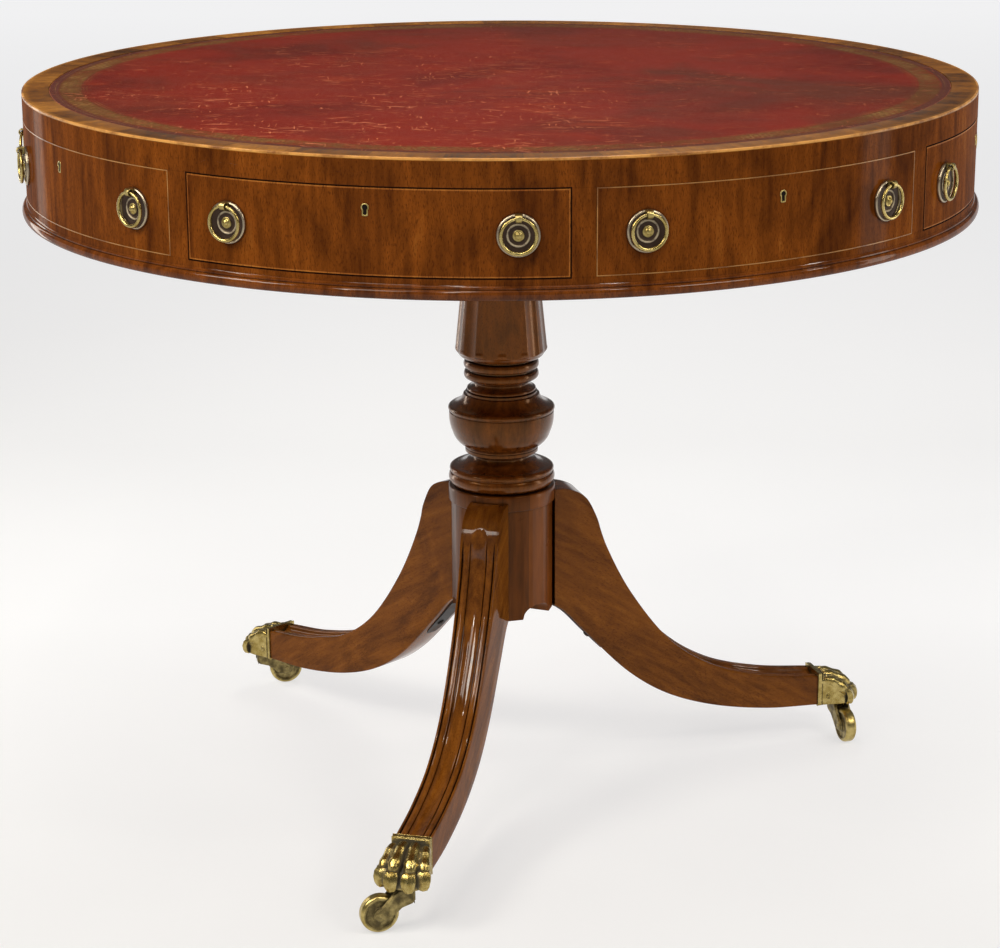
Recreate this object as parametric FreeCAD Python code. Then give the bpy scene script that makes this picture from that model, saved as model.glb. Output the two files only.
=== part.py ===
import FreeCAD, Part
import os
from math import cos, degrees, radians, sin, sqrt

# A revolving drum table: a round leather-lined top over a drum with four drawers and four
# dummy fronts, on a turned column with three moulded sabre legs, paw caps and castors.
# Millimetres. The origin is on the floor under the column, +Z is up, -Y is the front.

V = FreeCAD.Vector
UP = V(0, 0, 1)
ORIGIN = V(0, 0, 0)

# Overall sizes
table_height = 760.0
drum_radius = 480.0

# Clearances that many pieces share
glue_gap = 0.2
running_gap = 0.06
cut_over = 5.0

# Top: board, crossbanding, leather and the string on the arris
top_board_thickness = 14.0
veneer_thickness = 2.5
leather_thickness = 2.2
crossband_width = 25.0
edge_string_width = 2.0
edge_string_depth = 2.0

# Frieze: rails, stiles and the curved fronts
front_count = 8
drawer_count = 4
stile_angle = 2.6
top_rail_height = 12.0
front_height = 78.0
bottom_rail_height = 6.0
rail_depth = 32.0
front_thickness = 20.0
front_gap = 0.6
dummy_string_width = 1.2
dummy_string_depth = 1.0
dummy_string_inset = 0.5

# Base moulding round the foot of the drum
moulding_height = 13.0
moulding_depth = 25.0
moulding_bead_height = 9.4
moulding_bead_bulge = 2.6
moulding_fillet_height = 1.8
moulding_fillet_reach = 2.4

# Boards, runners and partitions inside the drum
bottom_board_thickness = 12.0
runner_width = 12.0
partition_thickness = 10.0
partition_gap = 1.0
pivot_block_width = 110.0
pivot_block_height = 40.0

# Drawer boxes
drawer_side_room = 12.0
drawer_back_room = 9.0
drawer_side_height = 73.5
drawer_side_thickness = 8.0
drawer_bottom_thickness = 5.0
drawer_bottom_rise = 5.0
drawer_groove_depth = 3.0
drawer_groove_gap = 0.1
drawer_back_drop = 4.0
drawer_lift = 0.3
drawer_travel = 220.0
dovetail_count = 3
dovetail_length = 13.0
dovetail_wide = 16.0
dovetail_narrow = 11.0

# Ring handles
handle_angle = 15.8
handle_drop = 66.0
plate_radius = 19.0
plate_rim_share = 0.935
plate_dish_share = 0.86
plate_boss_share = 0.26
plate_boss_height = 5.4
plate_rim_height = 2.6
plate_floor_height = 1.1
ring_radius = 15.3
ring_wire_radius = 1.6
ring_standoff = 6.4
ring_section_sides = 6
lug_eye_half = 2.2
lug_wall = 1.2
lug_width = 5.0

# Lock and keyhole
keyhole_drop = 44.0
escutcheon_round_radius = 3.6
escutcheon_foot_half = 2.6
escutcheon_length = 7.5
escutcheon_depth = 2.0
keyhole_wall = 1.1
lock_width = 46.0
lock_height = 32.0
lock_thickness = 9.0
lock_drop = 2.0

# Pivot between drum and base
drum_float = 0.3
washer_thickness = 2.0
washer_radius = 45.0
pin_radius = 12.0
pin_depth = 30.0
pin_cap_radius = 18.0
pin_cap_height = 5.0
platform_radius = 130.0
platform_thickness = 26.0
platform_edge_bulge = 5.0

# Column
column_foot_radius = 50.0
column_tenon_radius = 24.8
column_tenon_length = 80.0
column_top_tenon_radius = 22.0
flute_count = 12
flute_depth = 1.3
flute_radius = 38.0
flute_foot_radius = 47.6
flute_top_radius = 36.0
flute_low_share = 0.50
flute_foot_share = 0.5453
flute_high_share = 0.955

# Hub under the column
hub_top_height = 331.0
hub_low_height = 193.0
hub_sides = 12
hub_flat_radius = 53.0
hub_collar_reach = 2.0
hub_collar_height = 17.0
hub_core_radius = 48.0
hub_arch_rise = 13.0
hub_arch_half_foot = 19.5
hub_arch_half_crown = 13.0
hub_arch_shoulder_share = 0.45
hub_arch_swell_share = 0.1
tongue_depth = 12.0
tongue_half_neck = 6.0
tongue_half_root = 9.0
tongue_rise = 10.0
tongue_height = 104.0

# Sabre legs
leg_count = 3
leg_root_radius = 45.974
leg_start_radius = 46.0
leg_end_radius = 362.0
leg_top_height = 323.5
leg_width_at_hub = 40.5
leg_width_at_toe = 36.5
leg_tenon_length = 13.0
leg_tenon_shoulder = 3.0
leg_moulding_depth = 4.6
leg_moulding_start = 96.0
leg_moulding_fade = 34.0
leg_moulding_lift_share = 1.1
leg_moulding_stations = 13
leg_moulding_crowding = 1.25

# Iron plate under hub and legs
spider_thickness = 3.0
spider_width = 22.0
spider_reach = 112.0
spider_stations = 4
spider_slope_share = 1.4
spider_disc_share = 0.9

# Paw caps
cap_lip_length = 4.5
cap_lip_reach = 1.0
cap_length = 53.0
cap_base_height = 43.0
cap_crown_share = 0.4
toe_count = 4
toe_radius = 6.2
toe_bend_radius = 33.0
toe_spread = 10.4
toe_reach_share = 1.2
toe_rise_share = 0.1
toe_sides = 6
toe_bend_angle = 92.0
toe_tip_angle = 8.0
toe_fan_angle = 7.0
claw_half_width = 3.2
claw_tip_half_width = 1.0
claw_length = 11.0

# Castors
wheel_radius = 19.0
wheel_width = 12.0
wheel_dish_radius = 13.0
wheel_dish_depth = 1.6
wheel_hub_radius = 6.0
wheel_crown_share = 0.3
wheel_tread_share = 0.5
axle_radius = 3.0
castor_setback = 32.0
castor_trail = 25.0
castor_gap = 0.4
castor_swivel_angles = (-58.0, -90.0, -122.0)
swivel_pin_radius = 4.0
swivel_pin_length = 13.0
horn_thickness = 3.0
horn_side_gap = 0.7
horn_back = 8.5
horn_front = 4.0
horn_block_height = 15.0
horn_eye_radius = 7.0
horn_nose_share = 0.86
horn_belly_share = 0.6
axle_end_reach = 1.0

# Heights that follow
board_top = table_height - veneer_thickness
board_low = table_height - top_board_thickness
front_top = board_low - top_rail_height
front_low = front_top - front_height
rail_low = front_low - bottom_rail_height
moulding_low = rail_low - moulding_height
bottom_board_low = rail_low - bottom_board_thickness
platform_top = bottom_board_low - drum_float - washer_thickness
platform_low = platform_top - platform_thickness
handle_height = table_height - handle_drop
keyhole_height = table_height - keyhole_drop
drawer_low = front_low + drawer_lift
column_height = platform_low - hub_top_height

# Angles that follow
front_pitch = 360.0 / front_count
front_half_angle = (front_pitch - stile_angle) / 2
front_gap_angle = degrees(front_gap / drum_radius)
rail_inner = drum_radius - rail_depth
front_inner = drum_radius - front_thickness
leather_radius = drum_radius - edge_string_width - crossband_width
castor_pivot_radius = leg_end_radius + castor_setback

# A drawer fits between the stiles, and its back clears the partitions beside it
drawer_half_width = rail_inner * sin(radians(front_half_angle)) - drawer_side_room
drawer_back_distance = drawer_half_width + partition_gap + partition_thickness + drawer_back_room

# Azimuths: drawers open along the axes, dummy fronts stand on the diagonals between them
drawer_azimuths = [-90.0 + 360.0 / drawer_count * i for i in range(drawer_count)]
dummy_azimuths = [azimuth + front_pitch for azimuth in drawer_azimuths]
leg_names = ("front", "right", "left")
leg_azimuths = [-90.0 + 360.0 / leg_count * i for i in range(leg_count)]
castor_azimuths = [azimuth + swivel for azimuth, swivel in zip(leg_azimuths, castor_swivel_angles)]


# Helpers for outlines and solids

class Outline:
    """A closed outline in the radius and height plane, drawn one stretch at a time."""

    def __init__(self, radius, height):
        self.first = V(radius, 0, height)
        self.here = self.first
        self.edges = []

    def line(self, radius, height):
        there = V(radius, 0, height)
        self.edges.append(Part.LineSegment(self.here, there).toShape())
        self.here = there
        return self

    def bulge(self, radius, height, swell):
        """An arc whose middle stands off its chord: to the right going along it if positive."""
        there = V(radius, 0, height)
        along = there.sub(self.here)
        side = V(along.z, 0, -along.x).normalize()
        middle = self.here.add(there).multiply(0.5).add(side.multiply(swell))
        self.edges.append(Part.Arc(self.here, middle, there).toShape())
        self.here = there
        return self

    def curve(self, points):
        """A smooth spline from where the outline is through the points given."""
        spline = Part.BSplineCurve()
        spline.interpolate([self.here] + [V(radius, 0, height) for radius, height in points])
        self.edges.append(spline.toShape())
        self.here = V(points[-1][0], 0, points[-1][1])
        return self

    def face(self):
        if self.here.distanceToPoint(self.first) > 0:
            self.line(self.first.x, self.first.z)
        return Part.Face(Part.Wire(self.edges))

    def turned(self, angle=360.0):
        return self.face().revolve(ORIGIN, UP, angle)

    def slab(self, width):
        """The outline thickened equally to both sides of its plane."""
        shape = self.face().extrude(V(0, width, 0))
        shape.translate(V(0, -width / 2, 0))
        return shape


def turn_to(shape, azimuth):
    """A copy turned about the table's axis, from +X to the azimuth."""
    copy = shape.copy()
    copy.rotate(ORIGIN, UP, azimuth)
    return copy


def around(shape, azimuths):
    return [turn_to(shape, azimuth) for azimuth in azimuths]


def ring(inner, outer, low, high):
    return Outline(inner, low).line(outer, low).line(outer, high).line(inner, high).turned()


def disc(radius, low, high):
    return Part.makeCylinder(radius, high - low, V(0, 0, low))


def sector(inner, outer, low, high, half_angle):
    """A curved block centred on +X."""
    outline = Outline(inner, low).line(outer, low).line(outer, high).line(inner, high)
    block = outline.turned(2 * half_angle)
    block.rotate(ORIGIN, UP, -half_angle)
    return block


def block(x_low, x_high, y_low, y_high, z_low, z_high):
    return Part.makeBox(x_high - x_low, y_high - y_low, z_high - z_low, V(x_low, y_low, z_low))


def polygon_prism(flat_radius, sides, low, high):
    """A regular prism with the middle of one flat facing +X."""
    corner = flat_radius / cos(radians(180.0 / sides))
    angles = [radians((i + 0.5) * 360.0 / sides) for i in range(sides)]
    points = [V(corner * cos(a), corner * sin(a), low) for a in angles]
    wire = Part.makePolygon(points + [points[0]])
    return Part.Face(wire).extrude(V(0, 0, high - low))


def fuse(shapes):
    return shapes[0].multiFuse(shapes[1:]).removeSplitter()


nodes = {}


def keep(name, *solids):
    """Record a node: one solid, or a group of separate solids of one kind."""
    flat = []
    waiting = list(solids)
    while waiting:
        item = waiting.pop(0)
        if isinstance(item, list):
            waiting = item + waiting
        else:
            flat.extend(item.Solids)
    nodes[name] = flat[0] if len(flat) == 1 else Part.makeCompound(flat)


# Handles and keyholes, made facing +X with the wood's face at x = 0

def handle_plate():
    """A dished round plate with a rolled rim, a turned boss and the lug that holds the ring."""
    outline = Outline(0, 0).line(plate_radius, 0).line(plate_radius * plate_rim_share, plate_rim_height)
    outline.line(plate_radius * plate_dish_share, plate_floor_height)
    outline.line(plate_radius * plate_boss_share, plate_floor_height)
    plate = outline.line(0, plate_boss_height).turned()
    plate.rotate(ORIGIN, V(0, 1, 0), 90)
    reach = lug_eye_half + lug_wall
    lug = block(0, ring_standoff + reach, -lug_width / 2, lug_width / 2,
                ring_radius - reach, ring_radius + reach)
    eye_start = V(ring_standoff, -lug_width, ring_radius)
    eye = Part.makeCylinder(lug_eye_half, 2 * lug_width, eye_start, V(0, 1, 0))
    return fuse([plate, lug]).cut(eye)


def handle_ring():
    """The hanging ring, its wire given a few flats round the section."""
    corners = []
    for i in range(ring_section_sides):
        a = radians((i + 0.5) * 360.0 / ring_section_sides)
        corners.append(V(ring_radius + ring_wire_radius * cos(a), 0, ring_wire_radius * sin(a)))
    wire = Part.makePolygon(corners + [corners[0]])
    hoop = Part.Face(wire).revolve(ORIGIN, UP, 360)
    hoop.rotate(ORIGIN, V(0, 1, 0), 90)
    hoop.translate(V(ring_standoff, 0, 0))
    return hoop


def seat_handle(shape, side, azimuth):
    """Set a handle piece on the frieze, to the left or right of a front's middle."""
    copy = shape.copy()
    copy.translate(V(drum_radius, 0, handle_height))
    return turn_to(copy, azimuth + side * handle_angle)


def keyhole_bar(grow, inner, outer):
    """A keyhole-shaped bar along X: a round head over a narrower foot."""
    head = Part.makeCylinder(escutcheon_round_radius + grow, outer - inner, V(inner, 0, 0), V(1, 0, 0))
    half = escutcheon_foot_half + grow
    foot = block(inner, outer, -half, half, -escutcheon_length - grow, 0)
    bar = fuse([head, foot])
    bar.translate(V(0, 0, keyhole_height))
    return bar


def escutcheon():
    """A brass keyhole thread let in flush with the curved face."""
    inner = drum_radius - escutcheon_depth
    bar = keyhole_bar(0, inner, drum_radius + cut_over)
    bar = bar.cut(keyhole_bar(-keyhole_wall, inner - cut_over, drum_radius + 2 * cut_over))
    return bar.common(disc(drum_radius, front_low, front_top))


def escutcheon_seat():
    return keyhole_bar(0, drum_radius - escutcheon_depth, drum_radius + cut_over)


def keyhole_bore():
    return keyhole_bar(-keyhole_wall, front_inner - cut_over, drum_radius + cut_over)


def lock_block(grow):
    """The box lock behind a drawer front, under its top edge."""
    half = lock_width / 2 + grow
    top = front_top - front_gap - lock_drop + grow
    inner = front_inner - cut_over if grow else front_inner
    return block(inner, front_inner + lock_thickness + grow, -half, half, top - lock_height - 2 * grow, top)


# The round top

def build_top():
    keep("top_board", disc(drum_radius, board_low, board_top))
    string_inner = drum_radius - edge_string_width
    string_low = table_height - edge_string_depth
    band = ring(leather_radius, drum_radius, board_top, table_height)
    rebate = ring(string_inner, drum_radius + cut_over, string_low, table_height + cut_over)
    keep("crossbanding", band.cut(rebate))
    keep("leather_top", disc(leather_radius - glue_gap, board_top, board_top + leather_thickness))
    return ring(string_inner + glue_gap / 2, drum_radius, string_low, table_height)


# Frieze, moulding and the boards inside the drum

def string_frame(grow):
    """The boxwood rectangle let into a dummy front."""
    outer_angle = front_half_angle - degrees(dummy_string_inset / drum_radius)
    inner_angle = outer_angle - degrees(dummy_string_width / drum_radius)
    low = front_low + dummy_string_inset
    high = front_top - dummy_string_inset
    deep = drum_radius - dummy_string_depth
    frame = sector(deep, drum_radius + grow, low, high, outer_angle)
    hole = sector(deep - cut_over, drum_radius + cut_over, low + dummy_string_width,
                  high - dummy_string_width, inner_angle)
    return frame.cut(hole)


def dummy_front():
    front = sector(front_inner, drum_radius, front_low, front_top, front_half_angle)
    return front.cut(string_frame(cut_over)).cut(escutcheon_seat())


# The half-round bead in flats: share of its height, share of its bulge
moulding_bead_shares = ((0.20, 0.85), (0.80, 0.85))


def moulding_outline():
    inner = drum_radius + moulding_fillet_reach - moulding_depth
    bead_top = moulding_low + moulding_bead_height
    fillet_top = bead_top + moulding_fillet_height
    reach = drum_radius + moulding_fillet_reach
    outline = Outline(inner, moulding_low).line(reach, moulding_low)
    for height_share, reach_share in moulding_bead_shares:
        swell = moulding_bead_bulge * reach_share
        outline.line(reach + swell, moulding_low + moulding_bead_height * height_share)
    outline.line(reach, bead_top).line(reach, fillet_top).line(drum_radius, rail_low)
    return outline.line(inner, rail_low)


def build_frieze():
    half_pitch = front_pitch / 2
    block_azimuths = drawer_azimuths + dummy_azimuths
    top_rail = sector(rail_inner, drum_radius, front_top, board_low, half_pitch)
    bottom_rail = sector(rail_inner, drum_radius, rail_low, front_low, half_pitch)
    keep("frieze_rails", around(top_rail, block_azimuths), around(bottom_rail, block_azimuths))
    stile = sector(rail_inner, drum_radius, front_low, front_top, stile_angle / 2)
    keep("frieze_stiles", around(stile, [azimuth + half_pitch for azimuth in block_azimuths]))
    keep("dummy_fronts", around(dummy_front(), dummy_azimuths))
    length = moulding_outline().turned(front_pitch)
    length.rotate(ORIGIN, UP, -half_pitch)
    keep("base_moulding", around(length, block_azimuths))


def build_carcass():
    board_radius = drum_radius + moulding_fillet_reach - moulding_depth - glue_gap
    pin_bore = disc(pin_radius + running_gap, bottom_board_low - cut_over, board_low)
    keep("bottom_board", disc(board_radius, bottom_board_low, rail_low).cut(pin_bore))
    half = pivot_block_width / 2
    pivot = block(-half, half, -half, half, rail_low, rail_low + pivot_block_height)
    keep("pivot_block", pivot.cut(pin_bore))
    runner_high = drawer_half_width
    runner_low = runner_high - runner_width
    start = drawer_back_distance
    end = sqrt(rail_inner ** 2 - runner_high ** 2) - glue_gap
    runners = [block(start, end, runner_low, runner_high, rail_low, front_low),
               block(start, end, -runner_high, -runner_low, rail_low, front_low)]
    keep("drawer_runners", [around(runner, drawer_azimuths) for runner in runners])
    near = drawer_half_width + partition_gap
    far = near + partition_thickness
    reach = sqrt(rail_inner ** 2 - far ** 2) - glue_gap
    angle = fuse([block(near, reach, near, far, rail_low, board_low),
                  block(near, far, near, reach, rail_low, board_low)])
    keep("drawer_partitions", around(angle, [azimuth - 45.0 for azimuth in dummy_azimuths]))


# Drawers, made opening along +X and turned to their azimuths

def dovetails(grow):
    """The tails of one drawer side, which lap into the back of the front."""
    tails = []
    pitch = drawer_side_height / dovetail_count
    centre = drawer_half_width - drawer_side_thickness / 2
    shoulder = sqrt(front_inner ** 2 - drawer_half_width ** 2) - glue_gap
    for i in range(dovetail_count):
        middle = drawer_low + pitch * (i + 0.5)
        wide = dovetail_wide / 2 + grow
        narrow = dovetail_narrow / 2 + grow
        tip = shoulder + dovetail_length + grow
        points = [V(shoulder, 0, middle - narrow), V(tip, 0, middle - wide),
                  V(tip, 0, middle + wide), V(shoulder, 0, middle + narrow)]
        tail = Part.Face(Part.makePolygon(points + [points[0]]))
        tail = tail.extrude(V(0, drawer_side_thickness + 2 * grow, 0))
        tail.translate(V(0, centre - drawer_side_thickness / 2 - grow, 0))
        tails.append(tail)
    return tails


def mirror_side(shape):
    return shape.mirror(ORIGIN, V(0, 1, 0))


def drawer_front():
    """The bowed front with its dovetail sockets, lock mortise and keyhole."""
    front = sector(front_inner, drum_radius, front_low + front_gap, front_top - front_gap,
                   front_half_angle - front_gap_angle)
    sockets = dovetails(drawer_groove_gap)
    sockets = sockets + [mirror_side(socket) for socket in sockets]
    cutters = sockets + [escutcheon_seat(), keyhole_bore(), lock_block(drawer_groove_gap)]
    return front.cut(Part.makeCompound(cutters))


def drawer_side():
    """One side: a board grooved for the bottom, with tails at its front end."""
    inner = drawer_half_width - drawer_side_thickness
    shoulder = sqrt(front_inner ** 2 - drawer_half_width ** 2) - glue_gap
    board = block(drawer_back_distance, shoulder, inner, drawer_half_width,
                  drawer_low, drawer_low + drawer_side_height)
    groove_low = drawer_low + drawer_bottom_rise - drawer_groove_gap
    groove_high = groove_low + drawer_bottom_thickness + 2 * drawer_groove_gap
    groove = block(drawer_back_distance - cut_over, shoulder + cut_over, inner - cut_over,
                   inner + drawer_groove_depth + drawer_groove_gap, groove_low, groove_high)
    return fuse([board.cut(groove)] + dovetails(0)).cut(groove)


def build_drawer(number, azimuth):
    side = drawer_side()
    inner = drawer_half_width - drawer_side_thickness
    bottom_low = drawer_low + drawer_bottom_rise
    bottom_high = bottom_low + drawer_bottom_thickness
    back = block(drawer_back_distance, drawer_back_distance + drawer_side_thickness, -inner, inner,
                 bottom_high, drawer_low + drawer_side_height - drawer_back_drop)
    tongue = inner + drawer_groove_depth
    bottom = block(drawer_back_distance, drum_radius, -tongue, tongue, bottom_low, bottom_high)
    bottom = bottom.common(disc(front_inner - glue_gap, front_low, front_top))
    keep(f"drawer_{number}_front", turn_to(drawer_front(), azimuth))
    keep(f"drawer_{number}_box", around(side, [azimuth]), around(mirror_side(side), [azimuth]),
         turn_to(back, azimuth), turn_to(bottom, azimuth))
    lock = lock_block(0).cut(keyhole_bar(-keyhole_wall, front_inner - cut_over, drum_radius))
    brass = [turn_to(escutcheon(), azimuth), turn_to(lock, azimuth)]
    for hand in (-1, 1):
        brass.append(seat_handle(handle_plate(), hand, azimuth))
    keep(f"drawer_{number}_brass", brass)
    keep(f"drawer_{number}_ring_left", seat_handle(handle_ring(), -1, azimuth))
    keep(f"drawer_{number}_ring_right", seat_handle(handle_ring(), 1, azimuth))


def build_dummies(edge_string):
    strings = [edge_string]
    brass = []
    for number, azimuth in enumerate(dummy_azimuths, 1):
        strings.append(turn_to(string_frame(0), azimuth))
        brass.append(turn_to(escutcheon(), azimuth))
        for hand, word in ((-1, "left"), (1, "right")):
            brass.append(seat_handle(handle_plate(), hand, azimuth))
            keep(f"dummy_{number}_ring_{word}", seat_handle(handle_ring(), hand, azimuth))
    keep("boxwood_stringing", strings)
    keep("dummy_brass", brass)


# Pivot: the pin that the drum turns on, and what it stands on

def build_pivot():
    block_top = rail_low + pivot_block_height
    pin_low = platform_low - pin_depth
    shank = disc(pin_radius, pin_low, block_top + drum_float)
    cap = disc(pin_cap_radius, block_top + drum_float, block_top + drum_float + pin_cap_height)
    keep("pivot_pin", fuse([shank, cap]))
    washer_top = platform_top + washer_thickness
    keep("thrust_washer", ring(pin_radius + glue_gap, washer_radius, platform_top, washer_top))
    edge = Outline(column_top_tenon_radius + glue_gap, platform_low)
    edge.line(platform_radius - platform_edge_bulge, platform_low)
    edge.line(platform_radius, platform_low + platform_edge_bulge)
    edge.line(platform_radius, platform_top)
    keep("platform", edge.line(column_top_tenon_radius + glue_gap, platform_top).turned())


# Column, turned from one piece
# Each row goes on from the one before: share of the foot's radius, share of the column's
# height, and how far the stretch swells, as a share of the foot's radius.

column_turning_shares = (
    (1.000, 0.0215, 0.0),
    (0.980, 0.0682, 0.130),
    (0.940, 0.0771, 0.0),
    (0.760, 0.0930, 0.0),
    (0.626, 0.1076, 0.0),
    (0.626, 0.1202, 0.0),
    (0.752, 0.1417, 0.0),
    (1.100, 0.2655, 0.088),
    (1.104, 0.2870, 0.0),
    (1.060, 0.3120, 0.0),
    (0.880, 0.3373, 0.0),
    (0.760, 0.3580, 0.0),
    (0.590, 0.3839, 0.0),
    (0.574, 0.3920, 0.0),
    (0.740, 0.4090, 0.0),
    (0.780, 0.4250, 0.0),
    (0.740, 0.4410, 0.0),
    (0.700, 0.4485, 0.0),
    (0.740, 0.4560, 0.0),
    (0.780, 0.4690, 0.0),
    (0.740, 0.4830, 0.0),
    (0.708, 0.4910, 0.0),
    (0.800, 0.5130, 0.0),
    (0.910, 0.5290, 0.0),
    (0.952, 0.5453, 0.0),
    (0.720, 0.9575, 0.0),
    (0.780, 0.9620, 0.0),
    (0.780, 0.9720, 0.0),
    (0.730, 0.9770, 0.0),
    (0.860, 1.0000, 0.0),
)


def build_column():
    tenon_low = hub_top_height - column_tenon_length
    outline = Outline(0, tenon_low).line(column_tenon_radius, tenon_low)
    outline.line(column_tenon_radius, hub_top_height).line(column_foot_radius, hub_top_height)
    for radius_share, height_share, swell_share in column_turning_shares:
        radius = column_foot_radius * radius_share
        height = hub_top_height + column_height * height_share
        if swell_share:
            outline.bulge(radius, height, column_foot_radius * swell_share)
        else:
            outline.line(radius, height)
    outline.line(column_top_tenon_radius, platform_low).line(column_top_tenon_radius, platform_top)
    column = outline.line(0, platform_top).turned()
    column = column.cut(disc(pin_radius, platform_low - pin_depth, platform_top + cut_over))
    return column.cut(Part.makeCompound(column_flutes()))


def column_flutes():
    """Shallow hollows up the tapered drum of the column, which run out over its rounded foot."""
    low = hub_top_height + column_height * flute_low_share
    high = hub_top_height + column_height * flute_high_share
    foot_low = hub_top_height + column_height * flute_foot_share
    slope = (flute_top_radius - flute_foot_radius) / (high - foot_low)
    reach = flute_radius - flute_depth
    start = V(flute_foot_radius + reach + slope * (low - foot_low), 0, low)
    end = V(flute_top_radius + reach, 0, high)
    along = end.sub(start)
    cutter = Part.makeCylinder(flute_radius, along.Length, start, along)
    return around(cutter, [360.0 / flute_count * i for i in range(flute_count)])


# Hub: a twelve-sided block that takes the column above and the legs at its sides

def hub_body():
    body = polygon_prism(hub_flat_radius, hub_sides, hub_low_height, hub_top_height - hub_collar_height)
    collar = polygon_prism(hub_flat_radius + hub_collar_reach, hub_sides,
                           hub_top_height - hub_collar_height, hub_top_height)
    return fuse([body, collar])


def leg_tongue(grow):
    """The dovetail key on a leg's end, which slides up into the hub from below."""
    near = hub_flat_radius - tongue_depth - grow
    neck = tongue_half_neck + grow
    root = tongue_half_root + grow
    points = [V(hub_flat_radius + grow, -neck, 0), V(hub_flat_radius + grow, neck, 0),
              V(near, root, 0), V(near, -root, 0)]
    low = hub_low_height + (tongue_rise if not grow else -cut_over)
    high = hub_low_height + tongue_rise + tongue_height + grow
    key = Part.Face(Part.makePolygon(points + [points[0]])).extrude(V(0, 0, high - low))
    key.translate(V(0, 0, low))
    return key


def hub_arch():
    """The arched notch under the middle of each panel between two legs."""
    crown = hub_low_height + hub_arch_rise
    low = hub_low_height - cut_over
    shoulder = hub_low_height + hub_arch_rise * hub_arch_shoulder_share
    swell = hub_arch_rise * hub_arch_swell_share
    points = [V(hub_core_radius, -hub_arch_half_foot, low), V(hub_core_radius, hub_arch_half_foot, low)]
    foot_left = V(hub_core_radius, -hub_arch_half_foot, hub_low_height)
    foot_right = V(hub_core_radius, hub_arch_half_foot, hub_low_height)
    crown_left = V(hub_core_radius, -hub_arch_half_crown, crown)
    crown_right = V(hub_core_radius, hub_arch_half_crown, crown)
    lift = V(hub_core_radius, 0, crown + swell)
    bend = (hub_arch_half_foot + hub_arch_half_crown) / 2 - swell
    edges = [Part.LineSegment(points[0], points[1]).toShape(),
             Part.LineSegment(points[1], foot_right).toShape(),
             Part.Arc(foot_right, V(hub_core_radius, bend, shoulder), crown_right).toShape(),
             Part.Arc(crown_right, lift, crown_left).toShape(),
             Part.Arc(crown_left, V(hub_core_radius, -bend, shoulder), foot_left).toShape(),
             Part.LineSegment(foot_left, points[0]).toShape()]
    return Part.Face(Part.Wire(edges)).extrude(V(hub_flat_radius, 0, 0))


def build_hub():
    panel_azimuths = [azimuth + 180.0 for azimuth in leg_azimuths]
    socket_low = hub_top_height - column_tenon_length - glue_gap
    hub = hub_body().cut(disc(column_tenon_radius + glue_gap, socket_low, hub_top_height + cut_over))
    cutters = around(leg_tongue(drawer_groove_gap), leg_azimuths)
    cutters += around(hub_arch(), panel_azimuths)
    keep("hub", hub.cut(Part.makeCompound(cutters)))


# Sabre legs: side outlines as shares of the leg's reach and of its top height

leg_upper_shares = ((0.127, 1.000), (0.188, 0.996), (0.238, 0.969), (0.271, 0.907), (0.310, 0.786),
                    (0.390, 0.613), (0.525, 0.421), (0.663, 0.319), (0.829, 0.266), (1.000, 0.2425))
leg_lower_shares = ((0.127, 0.608), (0.171, 0.579), (0.243, 0.492), (0.381, 0.334),
                    (0.497, 0.245), (0.641, 0.183), (0.829, 0.1435), (1.000, 0.134))

# Moulding across a leg's top, from one edge to the other: share of the leg's width, and share
# of the moulding's depth below the top edge. A bead, a quirk, a reed and the wide hollow.
leg_moulding_half_shares = ((0.000, 0.30), (0.030, 0.05), (0.062, 0.30), (0.080, 0.58),
                            (0.125, 0.12), (0.245, 0.12), (0.290, 0.58), (0.440, 1.00))
leg_moulding_shares = leg_moulding_half_shares + tuple(
    (1 - across, depth) for across, depth in reversed(leg_moulding_half_shares))


def leg_points(shares):
    """Points of an edge of the leg's side shape, with the first at the root and the last at the end."""
    first = shares[0][0]
    run = (leg_end_radius - leg_root_radius) / (1 - first)
    return [(leg_root_radius + run * (reach - first), leg_top_height * height) for reach, height in shares]


def leg_width(radius):
    share = (radius - leg_start_radius) / (leg_end_radius - leg_start_radius)
    return leg_width_at_hub + (leg_width_at_toe - leg_width_at_hub) * share


def edge_spline(shares):
    spline = Part.BSplineCurve()
    spline.interpolate([V(radius, 0, height) for radius, height in leg_points(shares)])
    return spline


def moulding_section(point, normal, width, lift):
    """A closed section of the cutter that leaves the moulding, square to the leg's top edge."""
    def place(across, up):
        return point.add(V(0, across, 0)).add(V(normal).multiply(up + lift))

    corners = [place(width * (across - 0.5), -leg_moulding_depth * depth)
               for across, depth in leg_moulding_shares]
    rest = -leg_moulding_depth * leg_moulding_shares[0][1]
    wide = width / 2 + cut_over
    corners += [place(wide, rest), place(wide, 2 * cut_over)]
    corners += [place(-wide, 2 * cut_over), place(-wide, rest)]
    return Part.makePolygon(corners + [corners[0]])


def moulding_cutter():
    """The cutter follows the top edge, and comes down into the wood over its first stretch."""
    spline = edge_spline(leg_upper_shares)
    first = spline.parameter(V(leg_moulding_start, 0, spline_height(spline, leg_moulding_start)))
    last = spline.LastParameter
    span = spline.length(first, last)
    sections = []
    for i in range(leg_moulding_stations):
        share = (i / (leg_moulding_stations - 1)) ** leg_moulding_crowding
        at = spline.parameterAtDistance(span * share, first)
        point = spline.value(at)
        along = spline.tangent(at)[0]
        normal = V(-along.z, 0, along.x)
        fade = max(0.0, 1 - span * share / leg_moulding_fade)
        lift = leg_moulding_depth * leg_moulding_lift_share * fade ** 2
        sections.append(moulding_section(point, normal, leg_width(point.x), lift))
    return Part.makeLoft(sections, True, False)


def spline_height(spline, radius):
    """Height of an edge curve where it passes the radius."""
    plane = Part.Plane(V(radius, 0, 0), V(1, 0, 0))
    hit = spline.intersect(plane)[0][0]
    return hit.Z


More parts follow.
